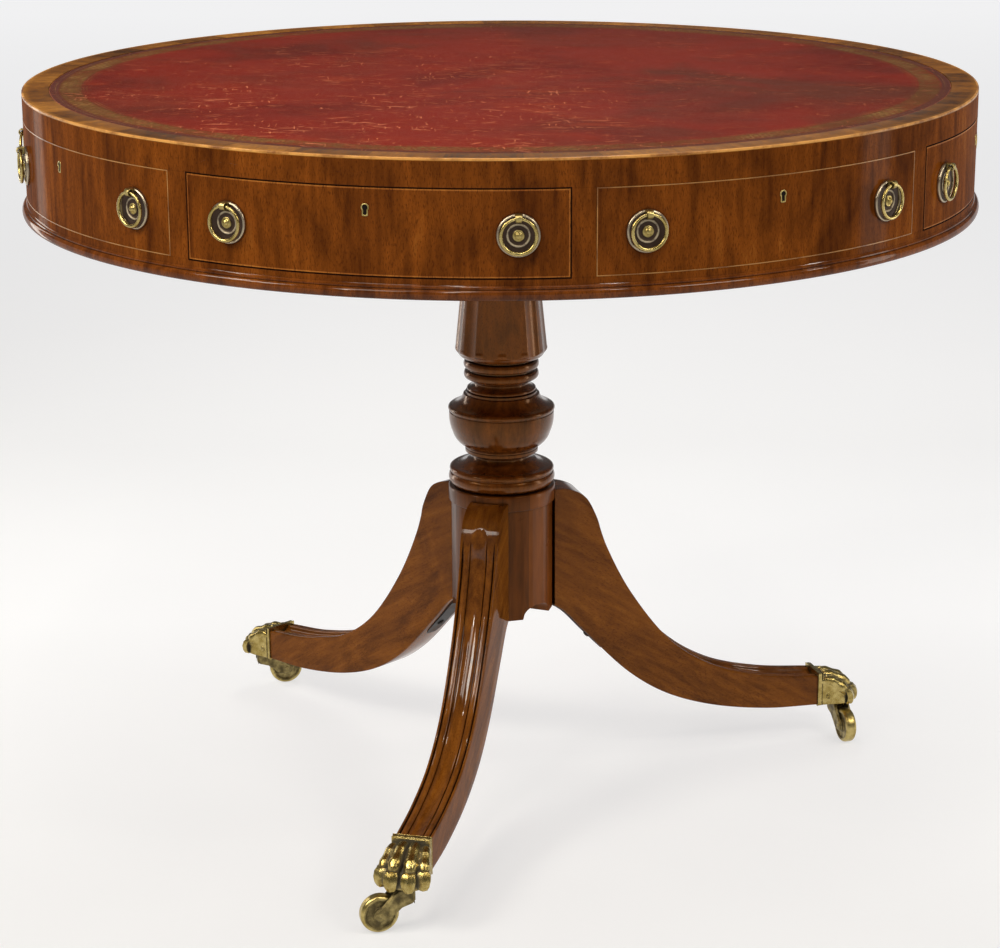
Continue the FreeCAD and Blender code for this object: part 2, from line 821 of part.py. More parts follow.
def leg_blank():
    """The side shape thickened, with its sides tapering towards the toe."""
    upper = leg_points(leg_upper_shares)
    lower = leg_points(leg_lower_shares)
    outline = Outline(*lower[0]).curve(lower[1:]).line(*upper[-1]).curve(upper[-2::-1])
    blank = outline.slab(leg_width_at_hub)
    plan = [V(leg_start_radius, leg_width_at_hub / 2, 0), V(leg_end_radius, leg_width_at_toe / 2, 0),
            V(leg_end_radius, -leg_width_at_toe / 2, 0), V(leg_start_radius, -leg_width_at_hub / 2, 0)]
    wedge = Part.Face(Part.makePolygon(plan + [plan[0]])).extrude(V(0, 0, table_height))
    return blank.common(wedge)


def leg_tenon(grow):
    """The reduced end of a leg inside its paw cap."""
    low = leg_top_height * leg_lower_shares[-1][1]
    high = leg_top_height * leg_upper_shares[-1][1] - leg_moulding_depth
    half = leg_width_at_toe / 2 - leg_tenon_shoulder
    start = leg_end_radius - (cut_over if grow else 0)
    return block(start, leg_end_radius + leg_tenon_length + grow, -half - grow, half + grow,
                 low + leg_tenon_shoulder - grow, high + grow)


def build_legs():
    leg = leg_blank().cut(hub_body()).cut(moulding_cutter())
    leg = fuse([leg, leg_tongue(0), leg_tenon(0)])
    for name, azimuth in zip(leg_names, leg_azimuths):
        keep(f"leg_{name}", turn_to(leg, azimuth))


# Iron plate that ties the legs to the hub from below

def spider_arm(drop):
    """Points along an arm: flat under the hub, then down the underside of the leg."""
    spline = edge_spline(leg_lower_shares)
    span = spider_reach - hub_flat_radius
    radii = [hub_flat_radius + span * i / spider_stations for i in range(spider_stations + 1)]
    return [(radius, spline_height(spline, radius) - drop) for radius in radii]


def build_spider():
    top = spider_arm(glue_gap)
    under = spider_arm(spider_thickness * spider_slope_share)
    flat_low = hub_low_height - spider_thickness
    bend = (hub_flat_radius, flat_low)
    outline = Outline(0, hub_low_height).line(0, flat_low).line(*bend).curve(under[1:])
    outline.line(*top[-1]).curve(top[-2::-1])
    if top[0][1] > hub_low_height:
        outline.line(hub_flat_radius, hub_low_height)
    arm = outline.slab(spider_width)
    plate = disc(hub_core_radius * spider_disc_share, flat_low, hub_low_height)
    keep("spider_plate", fuse([plate] + around(arm, leg_azimuths)))


# Paw caps: a socket for the leg, a lion's paw with toes and claws, a bore for the castor

def paw_toe(place):
    """One toe: a finger bent down over the front of the cap, with a claw at its end."""
    centre_radius = leg_end_radius + cap_length - toe_bend_radius - toe_radius * toe_reach_share
    centre_height = leg_top_height * leg_upper_shares[-1][1] - toe_bend_radius + toe_radius * toe_rise_share
    corners = []
    for i in range(toe_sides):
        a = radians((i + 0.5) * 360.0 / toe_sides)
        corners.append(V(toe_bend_radius + toe_radius * cos(a), toe_radius * sin(a), 0))
    section = Part.Face(Part.makePolygon(corners + [corners[0]]))
    finger = section.revolve(ORIGIN, V(0, -1, 0), toe_bend_angle)
    wide = claw_half_width
    thin = claw_tip_half_width
    claw = Part.makeWedge(-wide, 0, -wide, -thin, -thin, wide, claw_length, wide, thin, thin)
    claw.rotate(ORIGIN, V(1, 0, 0), -90)
    claw.translate(V(toe_bend_radius, 0, 0))
    toe = fuse([finger, claw])
    toe.rotate(ORIGIN, V(0, 1, 0), -toe_tip_angle)
    toe.translate(V(centre_radius, 0, centre_height))
    toe.rotate(V(leg_end_radius, 0, 0), UP, toe_fan_angle * place)
    toe.translate(V(0, toe_spread * place, 0))
    return toe


# The cup's front from its foot up: share of the length, share of the height, swell as a share
cap_front_shares = ((0.70, 0.62, 0.09), (0.28, 1.00, 0.10))


def cap_body():
    """The cup behind the toes, from the collar to a blunt nose."""
    low = cap_base_height
    high = leg_top_height * leg_upper_shares[-1][1] + cap_lip_reach * cap_crown_share
    tall = high - low
    outline = Outline(leg_end_radius, low).line(leg_end_radius + cap_length, low)
    for reach_share, height_share, swell_share in cap_front_shares:
        reach = leg_end_radius + cap_length * reach_share
        outline.bulge(reach, low + tall * height_share, tall * swell_share)
    return outline.line(leg_end_radius, high).slab(leg_width_at_toe)


def cap_lip():
    """The square collar round the end of the wood."""
    half = leg_width_at_toe / 2 + cap_lip_reach
    low = leg_top_height * leg_lower_shares[-1][1] - cap_lip_reach
    high = leg_top_height * leg_upper_shares[-1][1] + cap_lip_reach
    return block(leg_end_radius, leg_end_radius + cap_lip_length, -half, half, low, high)


def build_caps():
    places = [i - (toe_count - 1) / 2 for i in range(toe_count)]
    cap = fuse([cap_body(), cap_lip()] + [paw_toe(place) for place in places])
    floor = block(0, 2 * drum_radius, -drum_radius, drum_radius, 0, cap_base_height)
    bore = Part.makeCylinder(swivel_pin_radius + running_gap, swivel_pin_length,
                             V(castor_pivot_radius, 0, cap_base_height))
    cap = cap.cut(floor).cut(leg_tenon(glue_gap)).cut(bore)
    for name, azimuth in zip(leg_names, leg_azimuths):
        keep(f"paw_cap_{name}", turn_to(cap, azimuth))


# Castors, made with the pivot at the origin and the wheel trailing along +X

def castor_horn():
    """The forked horn with its swivel pin: a block over the pivot and a cheek each side."""
    top = cap_base_height - castor_gap
    low = top - horn_block_height
    inner_half = wheel_width / 2 + horn_side_gap
    outer_half = inner_half + horn_thickness
    outline = Outline(-horn_back, low).line(horn_front, low * horn_nose_share)
    outline.bulge(castor_trail, wheel_radius - horn_eye_radius, horn_thickness * horn_belly_share)
    outline.bulge(castor_trail, wheel_radius + horn_eye_radius, horn_eye_radius)
    outline.bulge(horn_front + horn_thickness, top, -horn_thickness).line(-horn_back, top)
    arms = outline.slab(2 * outer_half)
    slot = block(horn_front, castor_trail + 2 * wheel_radius, -inner_half, inner_half, 0, top + cut_over)
    pin = Part.makeCylinder(swivel_pin_radius, swivel_pin_length - castor_gap, V(0, 0, top))
    wheel_room = crosswise_bar(wheel_radius + 2 * castor_gap, inner_half)
    return fuse([arms, pin]).cut(slot).cut(wheel_room).cut(crosswise_bar(axle_radius, 2 * outer_half))


def crosswise_bar(radius, half):
    """A round bar on the wheel's axis."""
    return Part.makeCylinder(radius, 2 * half, V(castor_trail, -half, wheel_radius), V(0, 1, 0))


def castor_axle():
    return crosswise_bar(axle_radius, wheel_width / 2 + horn_side_gap + horn_thickness + axle_end_reach)


def castor_wheel():
    """A solid wheel with a crowned tread and dished sides."""
    half = wheel_width / 2
    crown = wheel_radius - half * wheel_crown_share
    tread = half * wheel_tread_share
    bore = axle_radius + running_gap
    floor = half - wheel_dish_depth
    outline = Outline(bore, -half).line(wheel_hub_radius, -half)
    outline.line(wheel_dish_radius, -floor).line(wheel_dish_radius + wheel_dish_depth, -half)
    outline.line(crown, -half).line(wheel_radius, -tread).line(wheel_radius, tread).line(crown, half)
    outline.line(wheel_dish_radius + wheel_dish_depth, half).line(wheel_dish_radius, floor)
    outline.line(wheel_hub_radius, half)
    wheel = outline.line(bore, half).turned()
    wheel.rotate(ORIGIN, V(1, 0, 0), 90)
    wheel.translate(V(castor_trail, 0, wheel_radius))
    return wheel


def build_castors():
    for name, leg_azimuth, azimuth in zip(leg_names, leg_azimuths, castor_azimuths):
        a = radians(leg_azimuth)
        pivot = V(castor_pivot_radius * cos(a), castor_pivot_radius * sin(a), 0)
        for word, shapes in (("horn", [castor_horn(), castor_axle()]), ("wheel", [castor_wheel()])):
            placed = around(Part.makeCompound(shapes), [azimuth])
            for shape in placed:
                shape.translate(pivot)
            keep(f"castor_{word}_{name}", placed)


def build_all():
    edge_string = build_top()
    build_frieze()
    build_carcass()
    for number, azimuth in enumerate(drawer_azimuths, 1):
        build_drawer(number, azimuth)
    build_dummies(edge_string)
    build_pivot()
    keep("column", build_column())
    build_hub()
    build_legs()
    build_spider()
    build_caps()
    build_castors()


build_all()
os.makedirs("parts", exist_ok=True)
for name, shape in nodes.items():
    shape.exportStep(os.path.join("parts", name + ".step"))
    state = "valid" if shape.isValid() else "NOT VALID"
    print(name, len(shape.Solids), "solids", round(shape.Volume), "mm3", state)
print(len(nodes), "nodes")
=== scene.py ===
# %% [markdown]
# # A revolving drum table
# The table is a round drum on a turned column with three sabre legs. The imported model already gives
# every piece's size and place, so it is loaded first and stays fixed. Each later step dresses one
# kind of piece, with a shape fine enough to be seen close up and a material made of nodes.
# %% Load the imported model
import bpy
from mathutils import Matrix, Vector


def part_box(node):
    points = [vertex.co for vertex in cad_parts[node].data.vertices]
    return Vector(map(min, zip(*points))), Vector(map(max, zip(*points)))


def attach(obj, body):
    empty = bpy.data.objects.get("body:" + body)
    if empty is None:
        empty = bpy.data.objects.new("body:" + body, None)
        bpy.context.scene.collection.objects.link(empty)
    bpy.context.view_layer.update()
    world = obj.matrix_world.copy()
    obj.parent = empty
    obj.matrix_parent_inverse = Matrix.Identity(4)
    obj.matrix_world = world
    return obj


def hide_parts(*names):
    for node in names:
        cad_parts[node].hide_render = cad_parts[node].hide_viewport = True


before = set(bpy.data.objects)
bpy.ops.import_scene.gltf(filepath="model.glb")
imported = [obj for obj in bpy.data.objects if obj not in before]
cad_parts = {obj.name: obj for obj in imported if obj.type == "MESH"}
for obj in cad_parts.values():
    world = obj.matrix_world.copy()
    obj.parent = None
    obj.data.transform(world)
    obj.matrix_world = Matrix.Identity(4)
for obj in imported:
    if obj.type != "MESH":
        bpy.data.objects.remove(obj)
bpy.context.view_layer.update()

# %% [markdown]
# ## Sizes
# A joiner works from a few sizes and lets the rest follow. Here they are read from the boxes of the
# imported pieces, in metres, so the dressed pieces always fit the model. Smaller sizes are named later,
# in the step that first needs them.
# %% Driving sizes
from math import asin, cos, degrees, hypot, pi, radians, sin, sqrt, tau
import bmesh
import bpy
from mathutils import Matrix, Vector


def low(node):
    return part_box(node)[0]


def high(node):
    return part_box(node)[1]


table_height = high("crossbanding").z
drum_radius = round(high("crossbanding").x, 3)
board_low, board_top = low("top_board").z, high("top_board").z
front_low, front_top = low("dummy_fronts").z, high("dummy_fronts").z
rail_low = high("bottom_board").z
moulding_low = low("base_moulding").z
front_pitch = 45.0
stile_angle = 2.6
front_half_angle = (front_pitch - stile_angle) / 2
drawer_azimuths = {"drawer_1": -90.0, "drawer_2": 0.0, "drawer_3": 90.0, "drawer_4": 180.0}
dummy_azimuths = {"dummy_1": -45.0, "dummy_2": 45.0, "dummy_3": 135.0, "dummy_4": 225.0}
front_azimuths = {**drawer_azimuths, **dummy_azimuths}
leg_azimuths = {"front": -90.0, "right": 30.0, "left": 150.0}
print("drum radius", drum_radius, "table height", round(table_height, 4), "fronts", round(front_low, 4),
      round(front_top, 4), "moulding from", round(moulding_low, 4))

# %% [markdown]
# ## Camera
# The photograph looks slightly down on the table from a little to the right of the front leg. The
# lens is long, so the ellipse of the top is shallow. Place and lens come from points of the table
# that are easy to find in the photograph, such as a drawer's corners and the rim of the top.
# %% Camera
camera_data = bpy.data.cameras.new("camera")
camera = bpy.data.objects.new("camera", camera_data)
bpy.context.scene.collection.objects.link(camera)
camera_data.sensor_width = 36.0
camera_data.lens = 96.4
camera.location = (0.659, -2.644, 1.147)
camera.rotation_euler = (radians(73.5), radians(0.25), radians(13.96))
bpy.context.scene.camera = camera
print("camera", [round(v, 3) for v in camera.location], "lens", camera_data.lens, "mm")

# %% [markdown]
# ## Light
# Furniture is photographed under large soft lamps in a dark room, so polished wood keeps its depth
# and shows a few broad reflections. So the world is dim, and pale only near the horizon. Overhead
# soft boxes light the table, and two tall narrow ones beside it draw the upright glints on the curved
# frieze: an upright mirror that is seen from above reflects only what stands low. A window in front
# shines along the leg's moulding, and small spots put a sparkle on the turned work.
# %% World and lamps
horizon_grey, upper_grey, pale_up_to = 0.86, 0.13, 0.07
world = bpy.data.worlds.new("studio")
world.use_nodes = True
sky = world.node_tree
direction = sky.nodes.new("ShaderNodeTexCoord")
height = sky.nodes.new("ShaderNodeSeparateXYZ")
fade_up = sky.nodes.new("ShaderNodeValToRGB")
for stop, place, grey in zip(fade_up.color_ramp.elements, (0.0, pale_up_to), (horizon_grey, upper_grey)):
    stop.position, stop.color = place, (grey, grey, grey, 1.0)
sky.links.new(direction.outputs["Generated"], height.inputs[0])
sky.links.new(height.outputs["Z"], fade_up.inputs["Fac"])
sky.links.new(fade_up.outputs["Color"], sky.nodes["Background"].inputs["Color"])
bpy.context.scene.world = world
bpy.context.scene.view_settings.view_transform = "Standard"

lamp_colour = (1.0, 0.95, 0.86)
# azimuth, height angle, distance, width, height, watts
lamps = {"box_left": (-48, 36, 2.8, 0.9, 0.7, 32), "box_right": (62, 34, 2.8, 0.8, 0.6, 18),
         "box_top": (20, 82, 2.5, 1.4, 1.4, 14), "box_back": (190, 58, 2.8, 1.2, 1.0, 10),
         "strip_left": (-114, 8, 1.9, 0.24, 1.2, 4), "strip_right": (100, 9, 1.9, 0.30, 1.2, 4),
         "window_front": (-16, 42, 2.4, 0.5, 0.9, 10),
         "strip_front": (2, 56, 2.5, 0.10, 1.6, 10), "strip_behind": (188, 48, 2.5, 0.10, 1.4, 6),
         "spot_left": (-58, 48, 2.6, 0.16, 0.16, 4), "spot_right": (44, 52, 2.6, 0.16, 0.16, 4),
         "spot_low": (-20, 30, 2.8, 0.12, 0.12, 3), "spot_side": (96, 40, 2.6, 0.16, 0.16, 4)}
for name, (azimuth, elevation, distance, wide, tall, watts) in lamps.items():
    a, e = radians(azimuth), radians(elevation)
    towards_lamp = Vector((sin(a) * cos(e), -cos(a) * cos(e), sin(e)))
    data = bpy.data.lights.new(name, "AREA")
    data.shape, data.size, data.size_y = "RECTANGLE", wide, tall
    data.energy, data.color = watts, lamp_colour
    lamp = bpy.data.objects.new(name, data)
    bpy.context.scene.collection.objects.link(lamp)
    lamp.location = Vector((0, 0, table_height / 2)) + towards_lamp * distance
    lamp.rotation_euler = towards_lamp.to_track_quat("Z", "Y").to_euler()
    lamp.visible_camera = False
print(len(lamps), "lamps")

# %% [markdown]
# ## Shader arithmetic
# A procedural material is arithmetic on patterns: stretch a noise, cut it at a threshold, mix two
# colours by it. One call per node makes that long and hard to read. So a small class wraps a socket
# and takes part in sums, and `0.3 + 0.5 * noise` adds its own Math nodes. One method adds any other
# node, from its type, its settings and its sockets' values.
# %% Sockets that take part in sums
class Wire:
    """A node's output, which can be added, multiplied and so on with numbers or other outputs."""

    def __init__(self, finish, socket):
        self.finish, self.socket = finish, socket

    def math(self, operation, first, second=0.0):
        return self.finish.add("ShaderNodeMath", {"operation": operation}, {0: first, 1: second})

    def __add__(self, other):
        return self.math("ADD", self, other)

    def __radd__(self, other):
        return self.math("ADD", other, self)

    def __sub__(self, other):
        return self.math("SUBTRACT", self, other)

    def __rsub__(self, other):
        return self.math("SUBTRACT", other, self)

    def __mul__(self, other):
        return self.math("MULTIPLY", self, other)

    def __rmul__(self, other):
        return self.math("MULTIPLY", other, self)

    def __truediv__(self, other):
        return self.math("DIVIDE", self, other)

    def __pow__(self, other):
        return self.math("POWER", self, other)

    def __mod__(self, other):
        return self.math("FLOORED_MODULO", self, other)

    def __abs__(self):
        return self.math("ABSOLUTE", self)


class Finish:
    """A material in the making."""

    def __init__(self, name):
        self.material = bpy.data.materials.new(name)
        self.material.use_nodes = True
        self.tree = self.material.node_tree
        self.tree.nodes.clear()

    def add(self, kind, settings=None, values=None, out=0):
        """Any node: its settings first, then the values or wires of its sockets."""
        node = self.tree.nodes.new(kind)
        for key, value in (settings or {}).items():
            if key == "stops":
                while len(node.color_ramp.elements) < len(value):
                    node.color_ramp.elements.new(1.0)
                for element, (place, shade) in zip(node.color_ramp.elements, value):
                    element.position, element.color = place, (*shade, 1.0)
            else:
                setattr(node, key, value)
        for key, value in (values or {}).items():
            socket = node.inputs[key]
            if isinstance(value, Wire):
                self.tree.links.new(value.socket, socket)
            elif socket.type == "RGBA" and len(value) == 3:
                socket.default_value = (*value, 1.0)
            else:
                socket.default_value = value
        return Wire(self, node.outputs[out]) if len(node.outputs) else node

    def place(self):
        """Where the point is on its own piece, in metres."""
        return self.add("ShaderNodeTexCoord", out=3)

    def stretch(self, vector, x, y, z):
        return self.add("ShaderNodeVectorMath", {"operation": "MULTIPLY"}, {0: vector, 1: (x, y, z)})

    def parts(self, vector):
        """The X, Y and Z of a vector."""
        x = self.add("ShaderNodeSeparateXYZ", values={0: vector})
        return x, Wire(self, x.socket.node.outputs[1]), Wire(self, x.socket.node.outputs[2])

    def join(self, x, y, z):
        return self.add("ShaderNodeCombineXYZ", values={0: x, 1: y, 2: z})

    def noise(self, vector, scale, detail=3.0, roughness=0.55, distortion=0.0):
        return self.add("ShaderNodeTexNoise", {"noise_dimensions": "3D"},
                        {"Vector": vector, "Scale": scale, "Detail": detail, "Roughness": roughness,
                         "Distortion": distortion})

    def step(self, value, start, end):
        """0 before start, 1 past end, and a smooth change between."""
        return self.add("ShaderNodeMapRange", {"interpolation_type": "SMOOTHSTEP"},
                        {"Value": value, "From Min": start, "From Max": end})

    def band(self, value, start, end, edge):
        """1 between start and end, with soft edges."""
        return self.step(value, start - edge, start + edge) * (1 - self.step(value, end - edge, end + edge))

    def ramp(self, value, *stops):
        return self.add("ShaderNodeValToRGB", {"stops": stops}, {"Fac": value})

    def mix(self, share, first, second, blend="MIX"):
        """Two colours mixed by a share."""
        return self.add("ShaderNodeMix", {"data_type": "RGBA", "blend_type": blend},
                        {0: share, 6: first, 7: second}, out=2)

    def bump(self, height, distance, strength=1.0, under=None):
        values = {"Height": height, "Distance": distance, "Strength": strength}
        if under:
            values["Normal"] = under
        return self.add("ShaderNodeBump", values=values)

    def hollow(self, reach, samples=6):
        """1 in corners and gaps narrower than the reach, 0 in the open."""
        open_share = self.add("ShaderNodeAmbientOcclusion", {"samples": samples}, {"Distance": reach}, out=1)
        return 1 - self.step(open_share, 0.40, 0.90)

    def surface(self, **sockets):
        """The shader itself, its sockets named with underscores for spaces."""
        shader = self.add("ShaderNodeBsdfPrincipled",
                          values={key.replace("_", " "): value for key, value in sockets.items()})
        self.add("ShaderNodeOutputMaterial", values={"Surface": shader})
        return self.material


print("a material is now a few sums")

# %% [markdown]
# ## Turning, skinning and arrises
# Turned pieces come from a lathe, so they are made as on one here: a profile is drawn in lines and
# swelling curves and spun about an axis. Other pieces are rows of points with a skin over them. A
# perfectly sharp edge catches no light, so joined pieces get a narrow rounded arris. Edges that stay
# crisp are marked sharp and all other shading is smooth.
# %% Profiles
class Profile:
    """A line of (radius, height) points, drawn one stretch at a time."""

    def __init__(self, radius, height):
        self.points = [(radius, height)]

    def line(self, radius, height):
        self.points.append((radius, height))
        return self

    def swell(self, radius, height, bulge, steps=10):
        """A curve whose middle stands off its chord by the bulge, to the right going along it."""
        r0, z0 = self.points[-1]
        chord = hypot(radius - r0, height - z0)
        side = ((height - z0) / chord, (r0 - radius) / chord)
        for i in range(1, steps + 1):
            t = i / steps
            off = 4 * bulge * t * (1 - t)
            self.points.append((r0 + (radius - r0) * t + side[0] * off,
                                z0 + (height - z0) * t + side[1] * off))
        return self

    def bead(self, height, reach, steps=12):
        """A half-round bead that stands out by the reach, up to a height."""
        r0, z0 = self.points[-1]
        for i in range(1, steps + 1):
            a = pi * i / steps
            self.points.append((r0 + reach * sin(a), z0 + (height - z0) * (1 - cos(a)) / 2))
        return self


# %% Skins, arrises and meshes
def skin(bm, rows):
    """Faces between rows of points. A row of one point closes the form to a tip."""
    rows = [[bm.verts.new(p) for p in row] for row in rows]
    for one, two in zip(rows, rows[1:]):
        count = max(len(one), len(two))
        for i in range(count):
            j = (i + 1) % count
            corners = [one[i % len(one)], one[j % len(one)], two[j % len(two)], two[i % len(two)]]
            corners = list(dict.fromkeys(corners))
            if len(corners) > 2:
                bm.faces.new(corners)
    return rows


def cap_ends(bm, rows):
    for row in (rows[0], rows[-1]):
        if len(row) > 2:
            bm.faces.new(row)


def ease(bm, width, angle=40, steps=3):
    """Round every edge that is sharper than the angle."""
    bm.normal_update()
    edges = [e for e in bm.edges if len(e.link_faces) == 2 and e.calc_face_angle(0) > radians(angle)]
    bmesh.ops.bevel(bm, geom=edges, offset=width, segments=steps, profile=0.5, affect="EDGES",
                    clamp_overlap=True)


def finish_mesh(bm, name, crease=36):
    """Close a bmesh into a mesh: smooth, with edges sharper than the crease kept crisp."""
    bmesh.ops.remove_doubles(bm, verts=bm.verts, dist=2e-6)
    bmesh.ops.recalc_face_normals(bm, faces=bm.faces)
    for face in bm.faces:
        face.smooth = True
    for edge in bm.edges:
        edge.smooth = len(edge.link_faces) == 2 and edge.calc_face_angle(0) < radians(crease)
    mesh = bpy.data.meshes.new(name)
    bm.to_mesh(mesh)
    bm.free()
    return mesh


def lathe(name, profile, steps=96, shape=None, crease=30, axis=Matrix()):
    """Spin a profile about an axis, at first Z. shape(radius, height, angle) may change a radius."""
    rows = []
    for radius, height in profile.points:
        row = []
        for i in range(steps if radius > 1e-7 else 1):
            a = tau * i / steps
            r = shape(radius, height, a) if shape else radius
            row.append(axis @ Vector((r * cos(a), r * sin(a), height)))
        rows.append(row)
    bm = bmesh.new()
    skin(bm, rows)
    return finish_mesh(bm, name, crease)


# %% Placing and dressing
def turned_to(azimuth, x=0.0, y=0.0, z=0.0):
    """The place of a piece that was made along +X and belongs at an azimuth of the table."""
    return Matrix.Rotation(radians(azimuth), 4, "Z") @ Matrix.Translation((x, y, z))


def dress(name, mesh, body, finish, stands_for=(), place=None, flats=False):
    """Put a piece in its place, give it its finish and let it ride on its body."""
    piece = bpy.data.objects.new(name, mesh)
    bpy.context.scene.collection.objects.link(piece)
    if not mesh.materials:
        mesh.materials.append(finish)
    if place is not None:
        piece.matrix_world = place
    if flats:
        even = piece.modifiers.new("even_flats", "WEIGHTED_NORMAL")
        even.keep_sharp = True
    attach(piece, body)
    if stands_for:
        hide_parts(*stands_for)
    return piece


print("lathe, skin and arris tools ready")

# %% [markdown]
# ## Mahogany
# Mahogany veneer is red-brown. Dark pores are drawn out along its grain, and broader ribbons of
# lighter and darker wood lie under the polish. One noise makes all of these when it is stretched
# along the grain and taken at three scales. French polish is a clear coat over rougher wood, so the
# shader's coat carries the gloss. Under it, the turned work has a second, honey-coloured gleam. Corners,
# grooves and the wood round the mounts are darkened with painted shade and dirt, where ambient
# occlusion finds them hemmed in. The grain can run any way, so it is an argument.
# %% Mahogany
mahogany_deep = (0.032, 0.0070, 0.0012)
mahogany_mid = (0.175, 0.046, 0.0052)
mahogany_light = (0.370, 0.128, 0.018)
leg_shades = ((0.040, 0.0100, 0.0015), (0.205, 0.065, 0.0070), (0.400, 0.160, 0.024))
# near-black brown for dark joints, and for the painted shade and dirt in corners and gaps
wood_dirt_and_shade = (0.010, 0.0040, 0.0015)
warm_gleam = (1.0, 0.74, 0.42)
honey_gleam = (1.0, 0.46, 0.13)


def mahogany(name, grain, darker=0.0, ribbon=11.0, polish=0.08, gloss=0.10, tilt=None, shades=None,
             shade_and_dirt_reach=0.005, gleam=0.0, rough=0.36):
    """Mahogany with its grain along the axis that the grain numbers shorten. polish may be a function."""
    f = Finish(name)
    deep, mid, light = shades or (mahogany_deep, mahogany_mid, mahogany_light)
    where = f.place()
    if tilt is not None:
        where = f.add("ShaderNodeVectorRotate", {"rotation_type": "Y_AXIS"}, {"Vector": where, "Angle": tilt})
    along = f.stretch(where, *grain)
    figure = f.noise(along, ribbon, 4.0, 0.6, 1.4)
    streak = f.noise(along, ribbon * 11, 3.0, 0.6)
    pore = f.noise(f.stretch(where, *[g ** 0.7 for g in grain]), ribbon * 115, 2.0, 0.5)
    mottle = f.noise(f.stretch(where, *[g ** 0.4 for g in grain]), 24.0, 4.0, 0.62, 1.2)
    cloud = f.noise(where, 3.5, 2.0)
    scuff = f.noise(where, 28.0, 5.0, 0.7)
    tone = 0.22 * figure + 0.34 * streak + 0.46 * mottle + 0.26 * cloud - darker - 0.160
    wood = f.ramp(tone, (0.26, deep), (0.52, mid), (0.80, light))
    dark_pore = f.step(pore, 0.51, 0.68)
    colour = f.mix(dark_pore * 0.55, wood, deep)
    # painted shade and dirt: darker in corners, grooves, gaps and round the mounts, where ambient occlusion
    # finds them
    colour = f.mix(f.hollow(shade_and_dirt_reach) * 0.85, colour, wood_dirt_and_shade)
    rough = rough + 0.12 * streak + 0.10 * scuff
    relief = f.bump(1 - dark_pore, 0.00005, 0.4, f.bump(cloud + 0.25 * figure, 0.0008, 0.5))
    return f.surface(Base_Color=colour, Roughness=rough, Normal=relief,
                     Coat_Weight=polish(f) if callable(polish) else polish, Coat_Roughness=gloss,
                     Coat_IOR=1.45, Specular_IOR_Level=gleam, Specular_Tint=(*honey_gleam, 1.0))


upright = (1.0, 1.0, 0.10)
frieze_wood = mahogany("mahogany_frieze", upright, darker=0.03)
rail_wood = mahogany("mahogany_rails", upright, darker=0.04, polish=0.50, gloss=0.08)
turned_wood = mahogany("mahogany_turned", (1.0, 1.0, 0.14), darker=0.07, ribbon=14.0, polish=0.18,
                       gloss=0.04, shade_and_dirt_reach=0.007, gleam=0.60, rough=0.06)
print("mahogany for frieze, rails and turned work")

# %% [markdown]
# ## Top board and crossbanding
# The top is a round board with a veneer border. The border is crossbanded: its grain points outwards,
# in short lengths cut from one sheet and laid side by side. Radial grain is a noise whose input is
# the direction from the centre, with the distance from the centre made small. The direction's own
# angle, cut into equal parts, tells one length of veneer from the next, and each gets its own tone.
# %% Top board
arris = 0.0006
rim_steps = 192
board = Profile(0, board_low).line(drum_radius, board_low).line(drum_radius, board_top).line(0, board_top)
dress("top_round_board", lathe("top_round_board", board, rim_steps), "drum", frieze_wood,
      ["top_board"])

# %% Crossbanding
crossband_deep = (0.035, 0.011, 0.0022)
crossband_mid = (0.180, 0.064, 0.008)
crossband_light = (0.420, 0.185, 0.030)
crossband_lengths = 44
rim_wear_width, rim_wear_edge = 0.008, 0.002


def from_the_middle(f):
    """Each point's distance from the table's axis, its angle round it, and its X and Y."""
    x, y, _ = f.parts(f.place())
    return (x * x + y * y) ** 0.5, x.math("ARCTAN2", y, x), x, y


def crossband_finish():
    f = Finish("crossband_veneer")
    distance, angle, x, y = from_the_middle(f)
    fan = f.join(x / distance, y / distance, distance * 0.9)
    figure = f.noise(fan, 26.0, 4.0, 0.6)
    streak = f.noise(fan, 170.0, 2.0, 0.6)
    turn_share = angle * (crossband_lengths / tau)
    piece = turn_share.math("FLOOR", turn_share)
    tone_of_piece = f.add("ShaderNodeTexWhiteNoise", {"noise_dimensions": "1D"}, {"W": piece})
    joint = f.step(abs(turn_share % 1.0 - 0.5), 0.488, 0.498)
    cloud = f.noise(f.place(), 4.0, 2.0)
    tone = 0.50 * figure + 0.52 * streak + 0.24 * tone_of_piece + 0.5 * cloud - 0.35
    wood = f.ramp(tone, (0.28, crossband_deep), (0.55, crossband_mid), (0.86, crossband_light))
    rim_wear = f.step(distance, drum_radius - rim_wear_width, drum_radius - rim_wear_edge) * cloud
    colour = f.mix(joint * 0.5, f.mix(rim_wear * 0.5, wood, crossband_light), crossband_deep)
    return f.surface(Base_Color=colour, Roughness=0.36 + 0.22 * streak, Coat_Weight=0.10, Coat_Roughness=0.18,
                     Normal=f.bump(streak - joint, 0.00008, 0.5), Specular_IOR_Level=0.03,
                     Specular_Tint=(*warm_gleam, 1.0))


leather_radius = round(high("leather_top").x, 3)
string_width = 0.002
string_inner = drum_radius - string_width
string_low = table_height - string_width
leather_gap = 0.0002
veneer_inner = leather_radius + leather_gap
veneer = Profile(veneer_inner, board_top).line(veneer_inner, table_height - leather_gap / 2)
veneer.line(veneer_inner + 1.5 * leather_gap, table_height).line(string_inner, table_height)
veneer.line(string_inner, string_low).line(drum_radius, string_low).line(drum_radius, board_top)
dress("crossbanded_border", lathe("crossbanded_border", veneer, rim_steps), "drum", crossband_finish(),
      ["crossbanding"])
print("border", round(string_inner - leather_radius, 4), "wide in", crossband_lengths, "lengths")

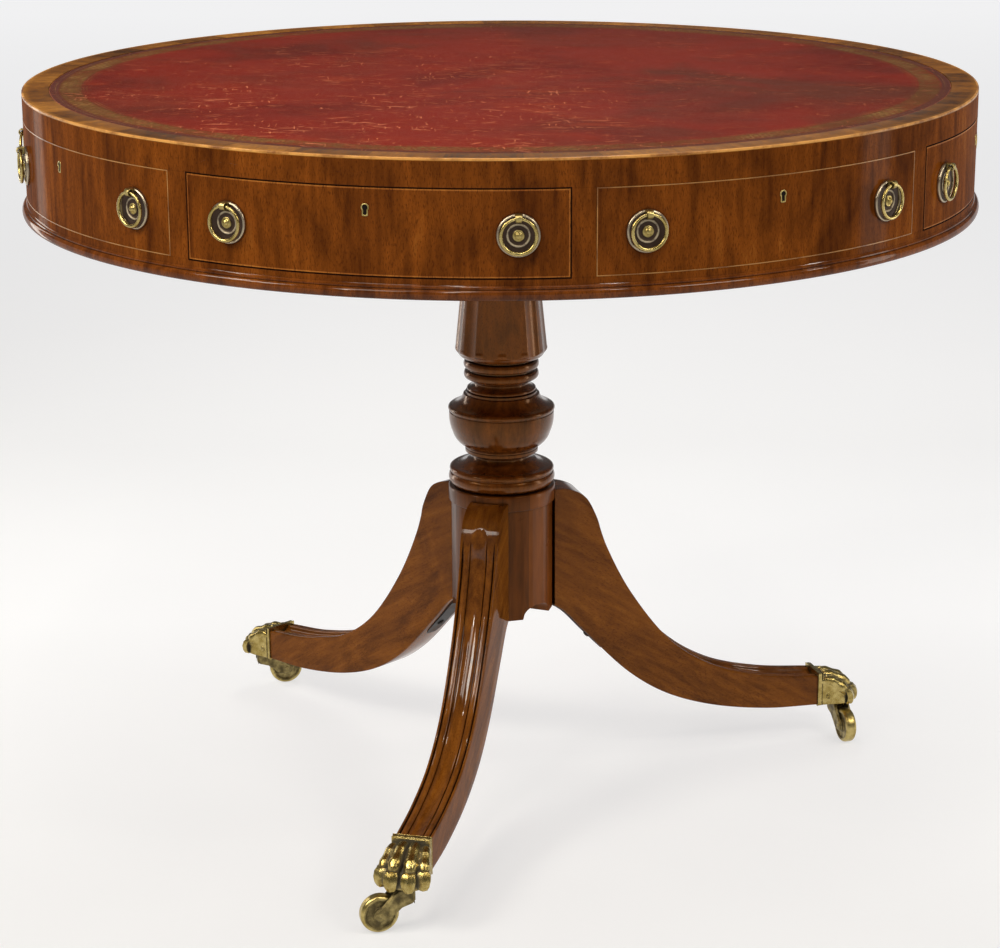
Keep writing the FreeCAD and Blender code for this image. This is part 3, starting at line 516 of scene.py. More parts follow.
# %% [markdown]
# ## Boxwood string
# A thin line of pale boxwood protects the arris of the top, and a frame of it lies round each dummy
# front. Boxwood is so dense that it hardly shows a grain, but old polish and dirt turn it honey-brown
# in places. The edge string is turned; the frames come with the fronts below.
# %% Edge string
boxwood_light = (0.560, 0.260, 0.055)
boxwood_dark = (0.200, 0.070, 0.011)
old_boxwood_light = (0.340, 0.160, 0.038)
old_boxwood_dark = (0.150, 0.058, 0.012)


def boxwood_finish(name, light, dark):
    f = Finish(name)
    dirt = f.noise(f.place(), 26.0, 5.0, 0.7)
    fine = f.noise(f.place(), 240.0, 2.0)
    colour = f.mix(f.step(dirt, 0.40, 0.66), light, dark)
    return f.surface(Base_Color=colour, Roughness=0.36 + 0.2 * fine, Coat_Weight=0.25, Coat_Roughness=0.15,
                     Normal=f.bump(fine, 0.00005, 0.5), Specular_IOR_Level=0.2)


boxwood = boxwood_finish("boxwood_string", boxwood_light, boxwood_dark)
old_boxwood = boxwood_finish("boxwood_frames", old_boxwood_light, old_boxwood_dark)
edge = Profile(string_inner, string_low).line(drum_radius, string_low).line(drum_radius, table_height - arris)
edge.swell(drum_radius - arris, table_height, arris / 4, 4).line(string_inner, table_height)
edge.line(string_inner, string_low)
dress("edge_string", lathe("edge_string", edge, rim_steps), "drum", boxwood,
      ["boxwood_stringing"])
print("edge string", string_width, "wide with an arris of", arris)

# %% [markdown]
# ## Leather
# The writing surface is red goatskin, let in level with the border and tooled with gold near its edge.
# Years of use leave pale scuffs and fine scratches, most where the writer sits, and dark patches
# where it was fed, and they rub the gold down to olive. The tooling is drawn by the distance from the
# centre and the angle: fine fillets, a broad band of crossing arcs, and a plain dark strip outside.
# %% Leather colours and tooling sizes
leather_red = (0.170, 0.0140, 0.0070)
leather_dark = (0.105, 0.0095, 0.0055)
leather_smoke = (0.080, 0.0200, 0.0110)
leather_rubbed = (0.310, 0.0470, 0.0150)
leather_scuff = (0.600, 0.200, 0.095)
leather_strip = (0.085, 0.024, 0.018)
gold_worn = (0.098, 0.046, 0.012)
gold_bright = (0.330, 0.190, 0.055)
band_inner, band_outer = 0.421, 0.443
fillet_places = (0.4155, 0.4185, 0.4462)
fillet_width, fillet_soft = 0.0008, 0.0002
band_soft = 0.0012
tooled_repeats = 132
seat_place = (-0.10, -0.22)


def tooled_pattern(f, distance, angle):
    """Two crossing lines of arcs with a bud in each opening, in the band round the leather."""
    across = (distance - band_inner) / (band_outer - band_inner) * 2.0 - 1.0
    swing = angle * tooled_repeats
    wave = swing.math("SINE", swing)
    arcs = 1 - f.step(abs(across - 0.72 * wave), 0.10, 0.26)
    crossing = 1 - f.step(abs(across + 0.72 * wave), 0.10, 0.26)
    bud = 1 - f.step(across * across * 3.0 + (1 - abs(wave)) ** 2.0 * 6.0, 0.10, 0.30)
    return arcs.math("MAXIMUM", arcs, crossing.math("MAXIMUM", crossing, bud))


def nicks(f, where, turn, long, fine, start):
    """Short thin scratches in one direction: a stretched noise, kept only where it peaks."""
    turned = f.add("ShaderNodeVectorRotate", {"rotation_type": "Z_AXIS"}, {"Vector": where, "Angle": turn})
    dash = f.noise(f.stretch(turned, long, fine, 1.0), 1.0, 2.0, 0.5, 0.4)
    return f.step(dash, start, start + 0.05)


# %% Leather finish
def leather_finish():
    f = Finish("tooled_leather")
    distance, angle, x, y = from_the_middle(f)
    where = f.place()
    cloud = f.noise(where, 5.5, 4.0, 0.62, 0.5)
    patch = f.noise(where, 15.0, 5.0, 0.7)
    pebble = f.add("ShaderNodeTexVoronoi", {"feature": "DISTANCE_TO_EDGE"}, {"Vector": where, "Scale": 900.0})
    fibre = f.noise(where, 420.0, 3.0)
    smoke = f.noise(where, 3.4, 4.0, 0.6, 0.8)
    drag = f.noise(f.stretch(where, 10.0, 34.0, 1.0), 1.0, 5.0, 0.7, 0.6)
    worn = f.step(patch, 0.42, 0.62)
    flaked = f.step(f.noise(where, 210.0, 4.0, 0.7), 0.40, 0.58)
    from_seat = ((x - seat_place[0]) ** 2.0 + (y - seat_place[1]) ** 2.0) ** 0.5
    use = 1 - f.step(from_seat, 0.10, 0.48)
    scratch = nicks(f, where, 0.3, 38.0, 230.0, 0.655) + nicks(f, where, 1.3, 54.0, 290.0, 0.660)
    scratch = scratch + nicks(f, where, 2.3, 46.0, 250.0, 0.660) + nicks(f, where, 2.9, 30.0, 200.0, 0.655)
    speck = f.add("ShaderNodeTexVoronoi", {"feature": "F1"}, {"Vector": where, "Scale": 70.0})
    speck = (1 - f.step(speck, 0.06, 0.11)) * f.step(fibre, 0.45, 0.55)
    scratch = (scratch + speck * 0.8) * (0.12 + 0.88 * worn) * (0.35 + 0.65 * use)
    rub = f.step(drag, 0.50, 0.72) * (0.3 + 0.7 * worn) + f.step(patch, 0.58, 0.82) * 0.3
    rub = rub * (0.5 + 0.7 * use)
    body = f.mix(f.step(cloud, 0.30, 0.56), leather_dark, leather_red)
    body = f.mix(f.step(smoke, 0.42, 0.66) * (0.85 - 0.50 * use), body, leather_smoke)
    body = f.mix(rub * 0.50, body, leather_rubbed)
    in_band = f.band(distance, band_inner, band_outer, band_soft)
    pattern = tooled_pattern(f, distance, angle)
    rubbed = f.step(patch, 0.30, 0.60)
    gold = f.mix(rubbed, gold_bright, gold_worn)
    colour = f.mix(f.step(distance, band_outer, band_outer + 0.001), body, leather_strip)
    colour = f.mix(in_band * (0.35 + 0.60 * flaked) * (1 - 0.35 * worn), colour, gold_worn)
    colour = f.mix(in_band * pattern * (0.50 - 0.30 * rubbed), colour, gold)
    lines = f.band(distance, fillet_places[0], fillet_places[0] + fillet_width * 0.6, fillet_soft)
    for place in fillet_places[1:]:
        lines = lines + f.band(distance, place, place + fillet_width, fillet_soft)
    colour = f.mix(lines * (0.55 - 0.35 * rubbed), colour, gold)
    cut_edge = f.step(distance, leather_radius - 0.0012, leather_radius - 0.0008) * f.step(fibre, 0.42, 0.60)
    colour = f.mix(scratch * 0.75, colour, leather_scuff)
    colour = f.mix(cut_edge * 0.5, colour, leather_scuff)
    relief = f.bump(pebble * 14.0 + fibre * 0.5, 0.00012, 0.5)
    relief = f.bump(scratch * -0.6 - lines - in_band * pattern * 0.5, 0.00010, 0.6, relief)
    relief = f.bump(cloud, 0.0010, 0.5, relief)
    return f.surface(Base_Color=colour, Roughness=0.42 + 0.20 * patch + 0.10 * fibre, Normal=relief,
                     Specular_IOR_Level=0.04, Specular_Tint=(*warm_gleam, 1.0))


leather_top = high("leather_top").z
hide = Profile(0, leather_top).line(leather_radius * 0.5, leather_top)
hide.line(leather_radius - 0.001, leather_top)
hide.swell(leather_radius, leather_top - arris, -arris / 6, 4).line(leather_radius, board_top)
dress("leather_skiver", lathe("leather_skiver", hide, rim_steps), "drum", leather_finish(),
      ["leather_top"])
print("leather", round(leather_radius * 2, 3), "across, band", round(band_outer - band_inner, 3), "wide")

# %% [markdown]
# ## Curved rails, stiles and fronts
# The frieze is built of curved blocks: a rail above and below, an upright between each two fronts,
# and eight bowed fronts. All of them are the same form, a block bent round the table's axis, so one
# function makes it. Each front is a separate piece with its own veneer, and because it is made in
# the table's own coordinates, no two fronts have the same figure.
# %% Blocks bent round the axis
rail_inner = drum_radius - 0.032
front_inner = drum_radius - 0.020
front_gap = 0.0006
gap_angle = degrees(front_gap / drum_radius)


def bent_blocks(name, azimuths, inner, outer, low_z, high_z, half_angle, eased=0.0004, step=0.75):
    """Blocks between two radii and two heights, centred on their azimuths."""
    bm = bmesh.new()
    corners = ((inner, low_z), (outer, low_z), (outer, high_z), (inner, high_z))
    steps = max(2, round(2 * half_angle / step))
    for azimuth in azimuths:
        angles = [radians(azimuth - half_angle + 2 * half_angle * i / steps) for i in range(steps + 1)]
        cap_ends(bm, skin(bm, [[(r * cos(a), r * sin(a), z) for r, z in corners] for a in angles]))
    ease(bm, eased)
    return finish_mesh(bm, name)


# %% Frieze
all_azimuths = list(front_azimuths.values())
half_pitch = front_pitch / 2
rail_arris = 0.00012
for name, bottom, top in (("rail_top", front_top, board_low), ("rail_low", rail_low, front_low)):
    rail = bent_blocks(name, all_azimuths, rail_inner, drum_radius, bottom, top, half_pitch, rail_arris)
    dress(name, rail, "drum", frieze_wood, ["frieze_rails"], flats=True)
stile_azimuths = [azimuth + half_pitch for azimuth in all_azimuths]
stiles = bent_blocks("stiles", stile_azimuths, rail_inner, drum_radius, front_low, front_top, stile_angle / 2,
                     rail_arris)
dress("stiles", stiles, "drum", frieze_wood, ["frieze_stiles"], flats=True)
for name, azimuth in dummy_azimuths.items():
    front = bent_blocks(name + "_panel", [azimuth], front_inner, drum_radius, front_low, front_top,
                        front_half_angle, rail_arris)
    dress(name + "_panel", front, "drum", frieze_wood, ["dummy_fronts"], flats=True)
for name, azimuth in drawer_azimuths.items():
    front = bent_blocks(name + "_panel", [azimuth], front_inner, drum_radius, front_low + front_gap,
                        front_top - front_gap, front_half_angle - gap_angle)
    dress(name + "_panel", front, name, frieze_wood, [name + "_front"], flats=True)
print("8 fronts of", round(2 * front_half_angle, 1), "degrees,", len(stile_azimuths), "stiles")

# %% [markdown]
# ## Lines round the fronts
# A dummy front has a thin boxwood line round it, level with the veneer. A drawer front has a narrow
# bead of bare wood along its edges, where hands have rubbed off the polish, and round its opening a
# dark line of painted shadow with some dirt marks the gap. All are four thin bent blocks whose ends
# meet at the corners, so one function makes them. A hair's breadth of height keeps them just proud of
# the veneer.
# %% Lines round the fronts
frame_width, frame_inset = 0.0009, 0.0004
bead_width, bead_inset = 0.0012, 0.0001
shadow_line_width = 0.0007
shadow_line_angle = degrees(shadow_line_width / drum_radius)
frame_depth, frame_proud = 0.001, 0.00008


def line_frame(name, azimuth, half_angle, bottom, top, width, inset):
    """Four thin blocks along the edges of a bowed front."""
    bm = bmesh.new()
    outer_angle = radians(half_angle) - inset / drum_radius
    inner_angle = outer_angle - width / drum_radius
    bottom, top = bottom + inset, top - inset
    bars = ((-outer_angle, outer_angle, bottom, bottom + width),
            (-outer_angle, outer_angle, top - width, top),
            (-outer_angle, -inner_angle, bottom + width, top - width),
            (inner_angle, outer_angle, bottom + width, top - width))
    inner, outer = drum_radius - frame_depth, drum_radius + frame_proud
    for start, end, z0, z1 in bars:
        steps = max(1, round(degrees(end - start) / 0.75))
        rows = []
        for i in range(steps + 1):
            a = radians(azimuth) + start + (end - start) * i / steps
            corners = ((inner, z0), (outer, z0), (outer, z1), (inner, z1))
            rows.append([(r * cos(a), r * sin(a), z) for r, z in corners])
        cap_ends(bm, skin(bm, rows))
    return finish_mesh(bm, name)


worn_edge = mahogany("mahogany_worn_edge", upright, darker=-0.20, polish=0.30, gloss=0.2, shade_and_dirt_reach=0.0005)
# a near-black line round each drawer opening: painted shadow of the gap, with some dirt
shadow_line_with_dirt = mahogany("mahogany_shadow_line_with_dirt", upright, darker=0.30, polish=0.05, gloss=0.3, shade_and_dirt_reach=0.001,
                     shades=(wood_dirt_and_shade, wood_dirt_and_shade, mahogany_deep))
for name, azimuth in dummy_azimuths.items():
    string = line_frame(name + "_string", azimuth, front_half_angle, front_low, front_top, frame_width,
                        frame_inset)
    dress(name + "_string", string, "drum", old_boxwood, ["boxwood_stringing"])
for name, azimuth in drawer_azimuths.items():
    bead = line_frame(name + "_bead", azimuth, front_half_angle - gap_angle, front_low + front_gap,
                      front_top - front_gap, bead_width, bead_inset)
    dress(name + "_bead", bead, name, worn_edge, [name + "_front"])
    # the line round the opening is painted shadow of the gap, with some dirt
    dirt = line_frame(name + "_opening_edge", azimuth, front_half_angle + shadow_line_angle, front_low - shadow_line_width,
                      front_top + shadow_line_width, shadow_line_width, 0.0)
    dress(name + "_opening_edge", dirt, "drum", shadow_line_with_dirt, ["frieze_rails"])
print("4 frames of", frame_width, "string, 4 beads of", bead_width, "and 4 shadow and dirt lines of", shadow_line_width)

# %% [markdown]
# ## Base moulding
# A half-round bead with a small fillet over it runs round the foot of the drum. Its profile is the
# same everywhere, so it is turned in one piece. The bead is the brightest line of the drum, because
# a convex polished edge mirrors the lamps from any side.
# %% Base moulding
moulding_inner = drum_radius - 0.0226
moulding_reach = drum_radius + 0.0024
bead_height, bead_bulge, fillet_height = 0.0094, 0.0028, 0.0018
bead_top = moulding_low + bead_height
moulding = Profile(moulding_inner, moulding_low).line(moulding_reach - 0.0008, moulding_low)
moulding.line(moulding_reach, moulding_low + 0.0004).bead(bead_top, bead_bulge)
moulding.line(moulding_reach - 0.0006, bead_top + 0.0003).line(moulding_reach - 0.0002, bead_top + 0.0006)
moulding.line(moulding_reach - 0.0002, bead_top + fillet_height).swell(drum_radius, rail_low, -0.0003, 4)
moulding.line(moulding_inner, rail_low).line(moulding_inner, moulding_low)
dress("drum_foot_bead", lathe("drum_foot_bead", moulding, rim_steps), "drum", rail_wood,
      ["base_moulding"])
print("bead", bead_height, "high, standing out", bead_bulge)

# %% [markdown]
# ## Brass
# The mounts are cast brass, lacquered long ago. Where hands polish them they are bright yellow, and
# in the hollows they keep a brown-green crust. So the finish mixes a metal and a dull crust by one
# mask. The mask grows in hollows, which ambient occlusion finds, and breaks up with a noise.
# %% Brass finish
brass_bright = (0.540, 0.425, 0.165)
brass_warm = (0.300, 0.215, 0.058)
brass_crust = (0.040, 0.029, 0.011)


def cast_brass(f, cloud_scale, fine_scale, warm_from=0.35, warm_full=0.70):
    """A coarse and a fine noise, and the metal's colour, which the coarse one makes warmer."""
    cloud = f.noise(f.place(), cloud_scale, 5.0, 0.65)
    fine = f.noise(f.place(), fine_scale, 3.0, 0.6)
    return cloud, fine, f.mix(f.step(cloud, warm_from, warm_full), brass_bright, brass_warm)


def brass_finish(name, crust=0.35, reach=0.0022, rough=0.26):
    """Brass with crust in hollows narrower than the reach."""
    f = Finish(name)
    cloud, fine, metal = cast_brass(f, 95.0, 700.0)
    mask = f.step(f.hollow(reach) * 0.75 + cloud * 0.62 + crust - 0.35, 0.34, 0.72)
    colour = f.mix(mask * 0.88, metal, brass_crust)
    return f.surface(Base_Color=colour, Metallic=1 - 0.5 * mask, Roughness=rough + 0.22 * mask + 0.16 * fine,
                     Normal=f.bump(fine + cloud * 2.0, 0.00010, 0.45))


brass = brass_finish("brass_mounts", crust=0.44)
brass_castor = brass_finish("brass_castors", crust=0.62, reach=0.006, rough=0.26)
print("brass with crust in its hollows")

# %% [markdown]
# ## Round handle plates
# Each handle hangs on a round stamped plate with a rolled rim, a thin raised ring and a turned boss.
# Stamped round work is turned in form, so the lathe makes it. The field between rim and boss was
# never polished and stays dark brown, and here the distance from the plate's own centre decides that.
# %% Handle plates
plate_radius = 0.019
boss_edge, field_edge, field_soft = 0.0050, 0.0168, 0.0005
raised_inner, raised_outer = 0.0086, 0.0104
rim_from, rim_full = 0.0166, 0.0174
plate_highlight_silver = (0.420, 0.360, 0.300)
plate_brown = (0.045, 0.024, 0.014)
face_out = Matrix.Rotation(radians(90), 4, "Y")
plate = Profile(plate_radius, 0).line(plate_radius, 0.0009).swell(0.0177, 0.0026, 0.0004, 6)
plate.swell(0.0168, 0.0014, 0.0003, 5).swell(0.0108, 0.0010, -0.0003, 5).swell(0.0084, 0.0012, 0.0010, 8)
plate.swell(0.0056, 0.0010, -0.0003, 5).line(0.0052, 0.0014).swell(0.0047, 0.0026, 0.0004, 4)
plate.swell(0.0026, 0.0034, -0.0004, 6).line(0.0023, 0.0037).swell(0.0020, 0.0050, 0.0006, 6)
plate.swell(0.0, 0.0055, 0.0002, 5)


def plate_finish():
    """Boss and rim rubbed bright, a painted silvery highlight over the rim and the raised ring, and brown
    crust between.
    """
    f = Finish("brass_plate")
    _, y, z = f.parts(f.place())
    distance = (y * y + z * z) ** 0.5
    cloud, fine, metal = cast_brass(f, 160.0, 900.0, 0.30)
    field = f.band(distance, boss_edge, field_edge, field_soft)
    raised = f.band(distance, raised_inner, raised_outer, field_soft)
    rim = f.step(distance, rim_from, rim_full)
    crust = field * (0.62 + 0.50 * cloud) * (1 - raised * 0.75) + f.step(cloud, 0.48, 0.70) * 0.35
    # painted highlight: the raised ring and the rim are mixed toward silver
    metal = f.mix((raised + rim) * 0.7, metal, plate_highlight_silver)
    colour = f.mix(f.step(crust, 0.10, 0.85), metal, plate_brown)
    return f.surface(Base_Color=colour, Metallic=1 - 0.5 * field, Roughness=0.22 + 0.25 * field + 0.15 * fine,
                     Normal=f.bump(fine + 2.0 * cloud, 0.00009, 0.5))


plate_mesh = lathe("handle_plate", plate, 64, axis=face_out)
plate_brass = plate_finish()
print("plate of", len(plate_mesh.polygons), "faces, shared by 16 handles")

# %% [markdown]
# ## Lugs and rings
# The ring hangs in a pierced lug at the plate's top edge. The lug is made as a skin between the
# outline of its eye and the outline round it, so the hole is real and the ring can pass. The ring's
# wire is a little thicker at the bottom, where the hand pulls, so its section grows as it goes round.
# %% Lug
ring_radius, ring_standoff = 0.0153, 0.0064
eye_radius, lug_reach, lug_half_width, lug_flare = 0.0022, 0.0035, 0.0025, 0.35
lug_stem_gap, lug_arris = 0.0008, 0.0005


def lug_mesh():
    """A stem and a round eye, in the plane of X and Z, at the top of the plate."""
    bm = bmesh.new()
    steps = 40
    eye, outside = [], []
    for i in range(steps):
        dx, dz = cos(tau * i / steps), sin(tau * i / steps)
        reach = lug_reach
        if dx < 0:
            reach = min((ring_standoff - lug_stem_gap) / -dx, lug_reach / max(abs(dz), 1e-6))
        eye.append((eye_radius * dx, eye_radius * dz))
        outside.append((reach * dx, reach * dz))
    rows = []
    for points, side in ((eye, -1), (outside, -1), (outside, 1), (eye, 1), (eye, -1)):
        rows.append([(ring_standoff + x, side * lug_half_width * (1 + lug_flare * max(0.0, z) / lug_reach),
                      ring_radius + z) for x, z in points])
    skin(bm, rows)
    bmesh.ops.remove_doubles(bm, verts=bm.verts, dist=2e-6)
    ease(bm, lug_arris, angle=50)
    return finish_mesh(bm, "handle_lug")


# %% Ring, and all sixteen handles
wire_thin, wire_thick = 0.00145, 0.00180
ring_around, ring_through = 72, 14


def ring_mesh():
    bm = bmesh.new()
    rows = []
    for i in range(ring_around + 1):
        a = tau * i / ring_around
        wire = wire_thin + (wire_thick - wire_thin) * (1 - sin(a)) / 2
        row = []
        for j in range(ring_through):
            b = tau * j / ring_through
            reach = ring_radius + wire * cos(b)
            row.append((ring_standoff + wire * sin(b), reach * cos(a), reach * sin(a)))
        rows.append(row)
    skin(bm, rows)
    return finish_mesh(bm, "handle_ring", 60)


def fixed_brass(name):
    """The body that a front rides on, and the model's brass that its mounts stand for."""
    return (name, [name + "_brass"]) if name in drawer_azimuths else ("drum", ["dummy_brass"])


lug, ring = lug_mesh(), ring_mesh()
ring_brass = brass_finish("brass_rings", crust=0.32, reach=0.0012, rough=0.18)
handle_angle = 15.8
handle_height = (low("drawer_1_ring_left").z + high("drawer_1_ring_left").z) / 2
for name, azimuth in front_azimuths.items():
    body, stands_for = fixed_brass(name)
    for hand, side in (("left", -1), ("right", 1)):
        place = turned_to(azimuth + side * handle_angle, drum_radius, 0, handle_height)
        swinging = f"{name}_ring_{hand}"
        dress(f"{name}_plate_{hand}", plate_mesh, body, plate_brass, stands_for, place)
        dress(f"{name}_lug_{hand}", lug, body, brass, stands_for, place)
        dress(f"{name}_pull_{hand}", ring, swinging, ring_brass, [swinging], place)
print("16 handles at height", round(handle_height, 4))

# %% [markdown]
# ## Keyholes
# A brass thread in the shape of a keyhole is let into each front. It is one outline taken twice, the
# inner one smaller by the wall, bent to the drum's curve. The hole itself is a near-black patch a hair
# proud of the veneer, painted shade for its depth, and on the real drawers a lock lies behind it.
# %% Keyholes
keyhole_height = table_height - 0.044
head_radius, foot_half, foot_length, keyhole_wall = 0.0036, 0.0027, 0.0077, 0.0011
foot_round = 0.0008
escutcheon_sunk, escutcheon_rise, escutcheon_arris = 0.0008, 0.0004, 0.0002
wall_foot, hole_rise, hole_rim = 0.00001, 0.00006, 0.0001


def keyhole_outline(shrink, count=28, foot_steps=6):
    """Points round a keyhole: the round head, then down one side, along the foot and up the other."""
    radius, half, bottom = head_radius - shrink, foot_half - shrink, -foot_length + shrink
    start = -(pi / 2 - asin(half / radius))
    sweep = pi - 2 * start
    points = [(radius * cos(start + sweep * i / count), radius * sin(start + sweep * i / count))
              for i in range(count + 1)]
    for i in range(foot_steps + 1):
        a = pi + pi * i / foot_steps
        points.append((half * cos(a), bottom + foot_round + foot_round * sin(a)))
    return points


def on_drum(points, proud):
    return [(sqrt((drum_radius + proud) ** 2 - y * y), y, z) for y, z in points]


def escutcheon_mesh():
    bm = bmesh.new()
    outline_heights = ((0, -escutcheon_sunk), (0, escutcheon_rise / 2), (escutcheon_arris, escutcheon_rise),
                       (keyhole_wall - escutcheon_arris, escutcheon_rise),
                       (keyhole_wall, escutcheon_rise / 2), (keyhole_wall, wall_foot))
    skin(bm, [on_drum(keyhole_outline(shrink), proud) for shrink, proud in outline_heights])
    return finish_mesh(bm, "escutcheon", 50)


def keyhole_mesh():
    bm = bmesh.new()
    rim = on_drum(keyhole_outline(keyhole_wall - hole_rim), hole_rise)
    skin(bm, [rim, [(drum_radius + hole_rise, 0, -0.001)]])
    return finish_mesh(bm, "keyhole")


def shadow_finish():
    f = Finish("keyhole_shadow")
    dust = f.noise(f.place(), 900.0, 3.0)
    return f.surface(Base_Color=f.mix(dust, (0.0015, 0.0012, 0.001), (0.012, 0.008, 0.006)),
                     Roughness=0.85 + 0.1 * dust, Normal=f.bump(dust, 0.0001), Specular_IOR_Level=0.1)


# %% Keyholes on all the fronts
escutcheon, keyhole, shadow = escutcheon_mesh(), keyhole_mesh(), shadow_finish()
inlay_brass = brass_finish("brass_inlay", crust=0.10, reach=0.0005, rough=0.3)
for name, azimuth in front_azimuths.items():
    body, stands_for = fixed_brass(name)
    place = turned_to(azimuth, 0, 0, keyhole_height)
    dress(name + "_escutcheon", escutcheon, body, inlay_brass, stands_for, place)
    dress(name + "_keyhole", keyhole, body, shadow, (), place)
print("8 keyholes at height", round(keyhole_height, 4))

# %% [markdown]
# ## Locks behind the drawer fronts
# Pulled out, a drawer shows its lock: a brass case let into the back of the front, with a bolt on top
# and four screws. Boxes with eased edges and small domes are enough here, all put into one mesh.
# A screw's slot is a real gap: the head is made as two half domes that stand a little apart.
# %% Boxes and screws
def box_into(bm, x0, x1, y0, y1, z0, z1):
    rows = [[(x, y0, z0), (x, y1, z0), (x, y1, z1), (x, y0, z1)] for x in (x0, x1)]
    cap_ends(bm, skin(bm, rows))


screw_dome_shares = ((1.0, -0.2), (1.0, 0.0), (0.8, 0.18), (0.45, 0.28), (0.12, 0.30))
screw_slot_share, screw_steps = 0.10, 12


def screw_into(bm, place, radius, facing, slot_turn=0.4):
    """Two half domes with a slot between them, facing along a direction."""
    turn = facing.to_track_quat("Z", "Y").to_matrix() @ Matrix.Rotation(slot_turn, 3, "Z")
    for side in (1, -1):
        rows = []
        for share, lift in screw_dome_shares:
            row = []
            for i in range(screw_steps + 1):
                a = pi * i / screw_steps
                y = side * radius * (share * sin(a) + screw_slot_share)
                row.append(place + turn @ Vector((radius * share * cos(a), y, radius * lift)))
            rows.append(row)
        cap_ends(bm, skin(bm, rows))


# %% Locks
lock_half_width, lock_height, lock_depth = 0.023, 0.032, 0.009
lock_top = front_top - front_gap - 0.002
bolt_half_width, bolt_rise, bolt_inset, lock_arris, lock_screw = 0.009, 0.0008, 0.002, 0.0005, 0.002


def lock_mesh():
    bm = bmesh.new()
    deepest, lock_low = front_inner + lock_depth, lock_top - lock_height
    box_into(bm, front_inner - 0.0002, deepest, -lock_half_width, lock_half_width, lock_low, lock_top)
    box_into(bm, front_inner + bolt_inset, deepest - bolt_inset, -bolt_half_width, bolt_half_width, lock_top,
             lock_top + bolt_rise)
    ease(bm, lock_arris)
    for side in (-1, 1):
        for z in (lock_top - 2 * lock_screw, lock_low + 2 * lock_screw):
            place = Vector((front_inner, side * (lock_half_width - 2 * lock_screw), z))
            screw_into(bm, place, lock_screw, Vector((-1, 0, 0)), side * 0.6)
    return finish_mesh(bm, "drawer_lock")


lock = lock_mesh()
lock_brass = brass_finish("brass_lock", crust=0.30, reach=0.002, rough=0.38)
for name, azimuth in drawer_azimuths.items():
    dress(name + "_lock", lock, name, lock_brass, [name + "_brass"], turned_to(azimuth), flats=True)
print("lock", 2 * lock_half_width, "by", lock_height)

# %% [markdown]
# ## Oak inside
# Drawer boxes, runners, partitions and the boards inside the drum are oak, left without polish. The
# model's own solids already have the right shape and their true dovetails, so they stay and only get
# a material: oak with long pores, a pale ray figure and brown handling marks. A drawer's oak runs
# from front to back, so the drawers that open along X and along Y need one each.
# %% Oak finish
oak_pale = (0.330, 0.190, 0.086)
oak_brown = (0.150, 0.072, 0.028)
oak_pore = (0.060, 0.028, 0.012)


def oak_finish(name, grain):
    f = Finish(name)
    along = f.stretch(f.place(), *grain)
    figure = f.noise(along, 34.0, 4.0, 0.6, 0.6)
    pore = f.noise(f.stretch(f.place(), *[g * g for g in grain]), 1500.0, 2.0)
    ray = f.noise(f.stretch(f.place(), *[4.0 if g < 1 else 0.4 for g in grain]), 40.0, 2.0)
    cloud = f.noise(f.place(), 9.0, 3.0)
    wood = f.ramp(0.6 * figure + 0.5 * cloud - 0.05, (0.28, oak_brown), (0.72, oak_pale))
    wood = f.mix(f.step(ray, 0.62, 0.70) * 0.25, wood, oak_pale)
    dark = f.step(pore, 0.58, 0.70)
    return f.surface(Base_Color=f.mix(dark * 0.6, wood, oak_pore), Roughness=0.62 + 0.2 * cloud,
                     Normal=f.bump(1 - dark, 0.00015, 0.6))


# %% Oak on the model's own solids
def paint(material, *nodes):
    """Give a finish to the model's own solids."""
    for node in nodes:
        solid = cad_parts[node]
        solid.data.materials.clear()
        solid.data.materials.append(material)


oak_x, oak_y = oak_finish("oak_along_x", (0.06, 1.0, 1.0)), oak_finish("oak_along_y", (1.0, 0.06, 1.0))
paint(oak_x, "drawer_2_box", "drawer_4_box", "bottom_board", "pivot_block", "drawer_partitions")
paint(oak_y, "drawer_1_box", "drawer_3_box", "drawer_runners")
print("oak on the boxes, boards, runners and partitions")

# %% [markdown]
# ## Iron under the table
# The straps that tie the legs to the hub, and the pin that the drum turns on, are wrought iron. Old
# iron is nearly black with a skin of fine rust, rough but not without a gleam. The pin and the washer
# keep the model's own shape, and the straps follow after the legs.
# %% Iron
iron_dark = (0.030, 0.027, 0.025)
iron_rust = (0.110, 0.045, 0.020)


def iron_finish():
    f = Finish("wrought_iron")
    cloud = f.noise(f.place(), 60.0, 5.0, 0.65)
    pit = f.noise(f.place(), 420.0, 3.0, 0.6)
    rust = f.step(cloud, 0.48, 0.72)
    return f.surface(Base_Color=f.mix(rust, iron_dark, iron_rust), Metallic=1 - 0.8 * rust,
                     Roughness=0.45 + 0.35 * rust, Normal=f.bump(pit + cloud, 0.0003, 0.6))


iron = iron_finish()
paint(iron, "pivot_pin")
paint(brass, "thrust_washer")
print("iron on the pin, brass on the washer")

# %% [markdown]
# ## Platform
# The drum stands and turns on a round platform at the column's head. It lies in the drum's shadow, so
# it only needs a clean turned edge: flat above for the washer, and rounded below.
# %% Platform
platform_low, platform_top = low("platform").z, high("platform").z
platform_radius = round(high("platform").x, 4)
platform_round, platform_bore = 0.007, 0.0225
disc = Profile(platform_bore, platform_low).line(platform_radius - platform_round, platform_low)
disc.swell(platform_radius, platform_low + platform_round, platform_round / 3, 8)
disc.line(platform_radius, platform_top - arris).line(platform_radius - arris, platform_top)
disc.line(platform_bore, platform_top)
dress("turning_platform", lathe("turning_platform", disc, 128), "base", rail_wood, ["platform"])
print("platform", round(2 * platform_radius, 3), "across")

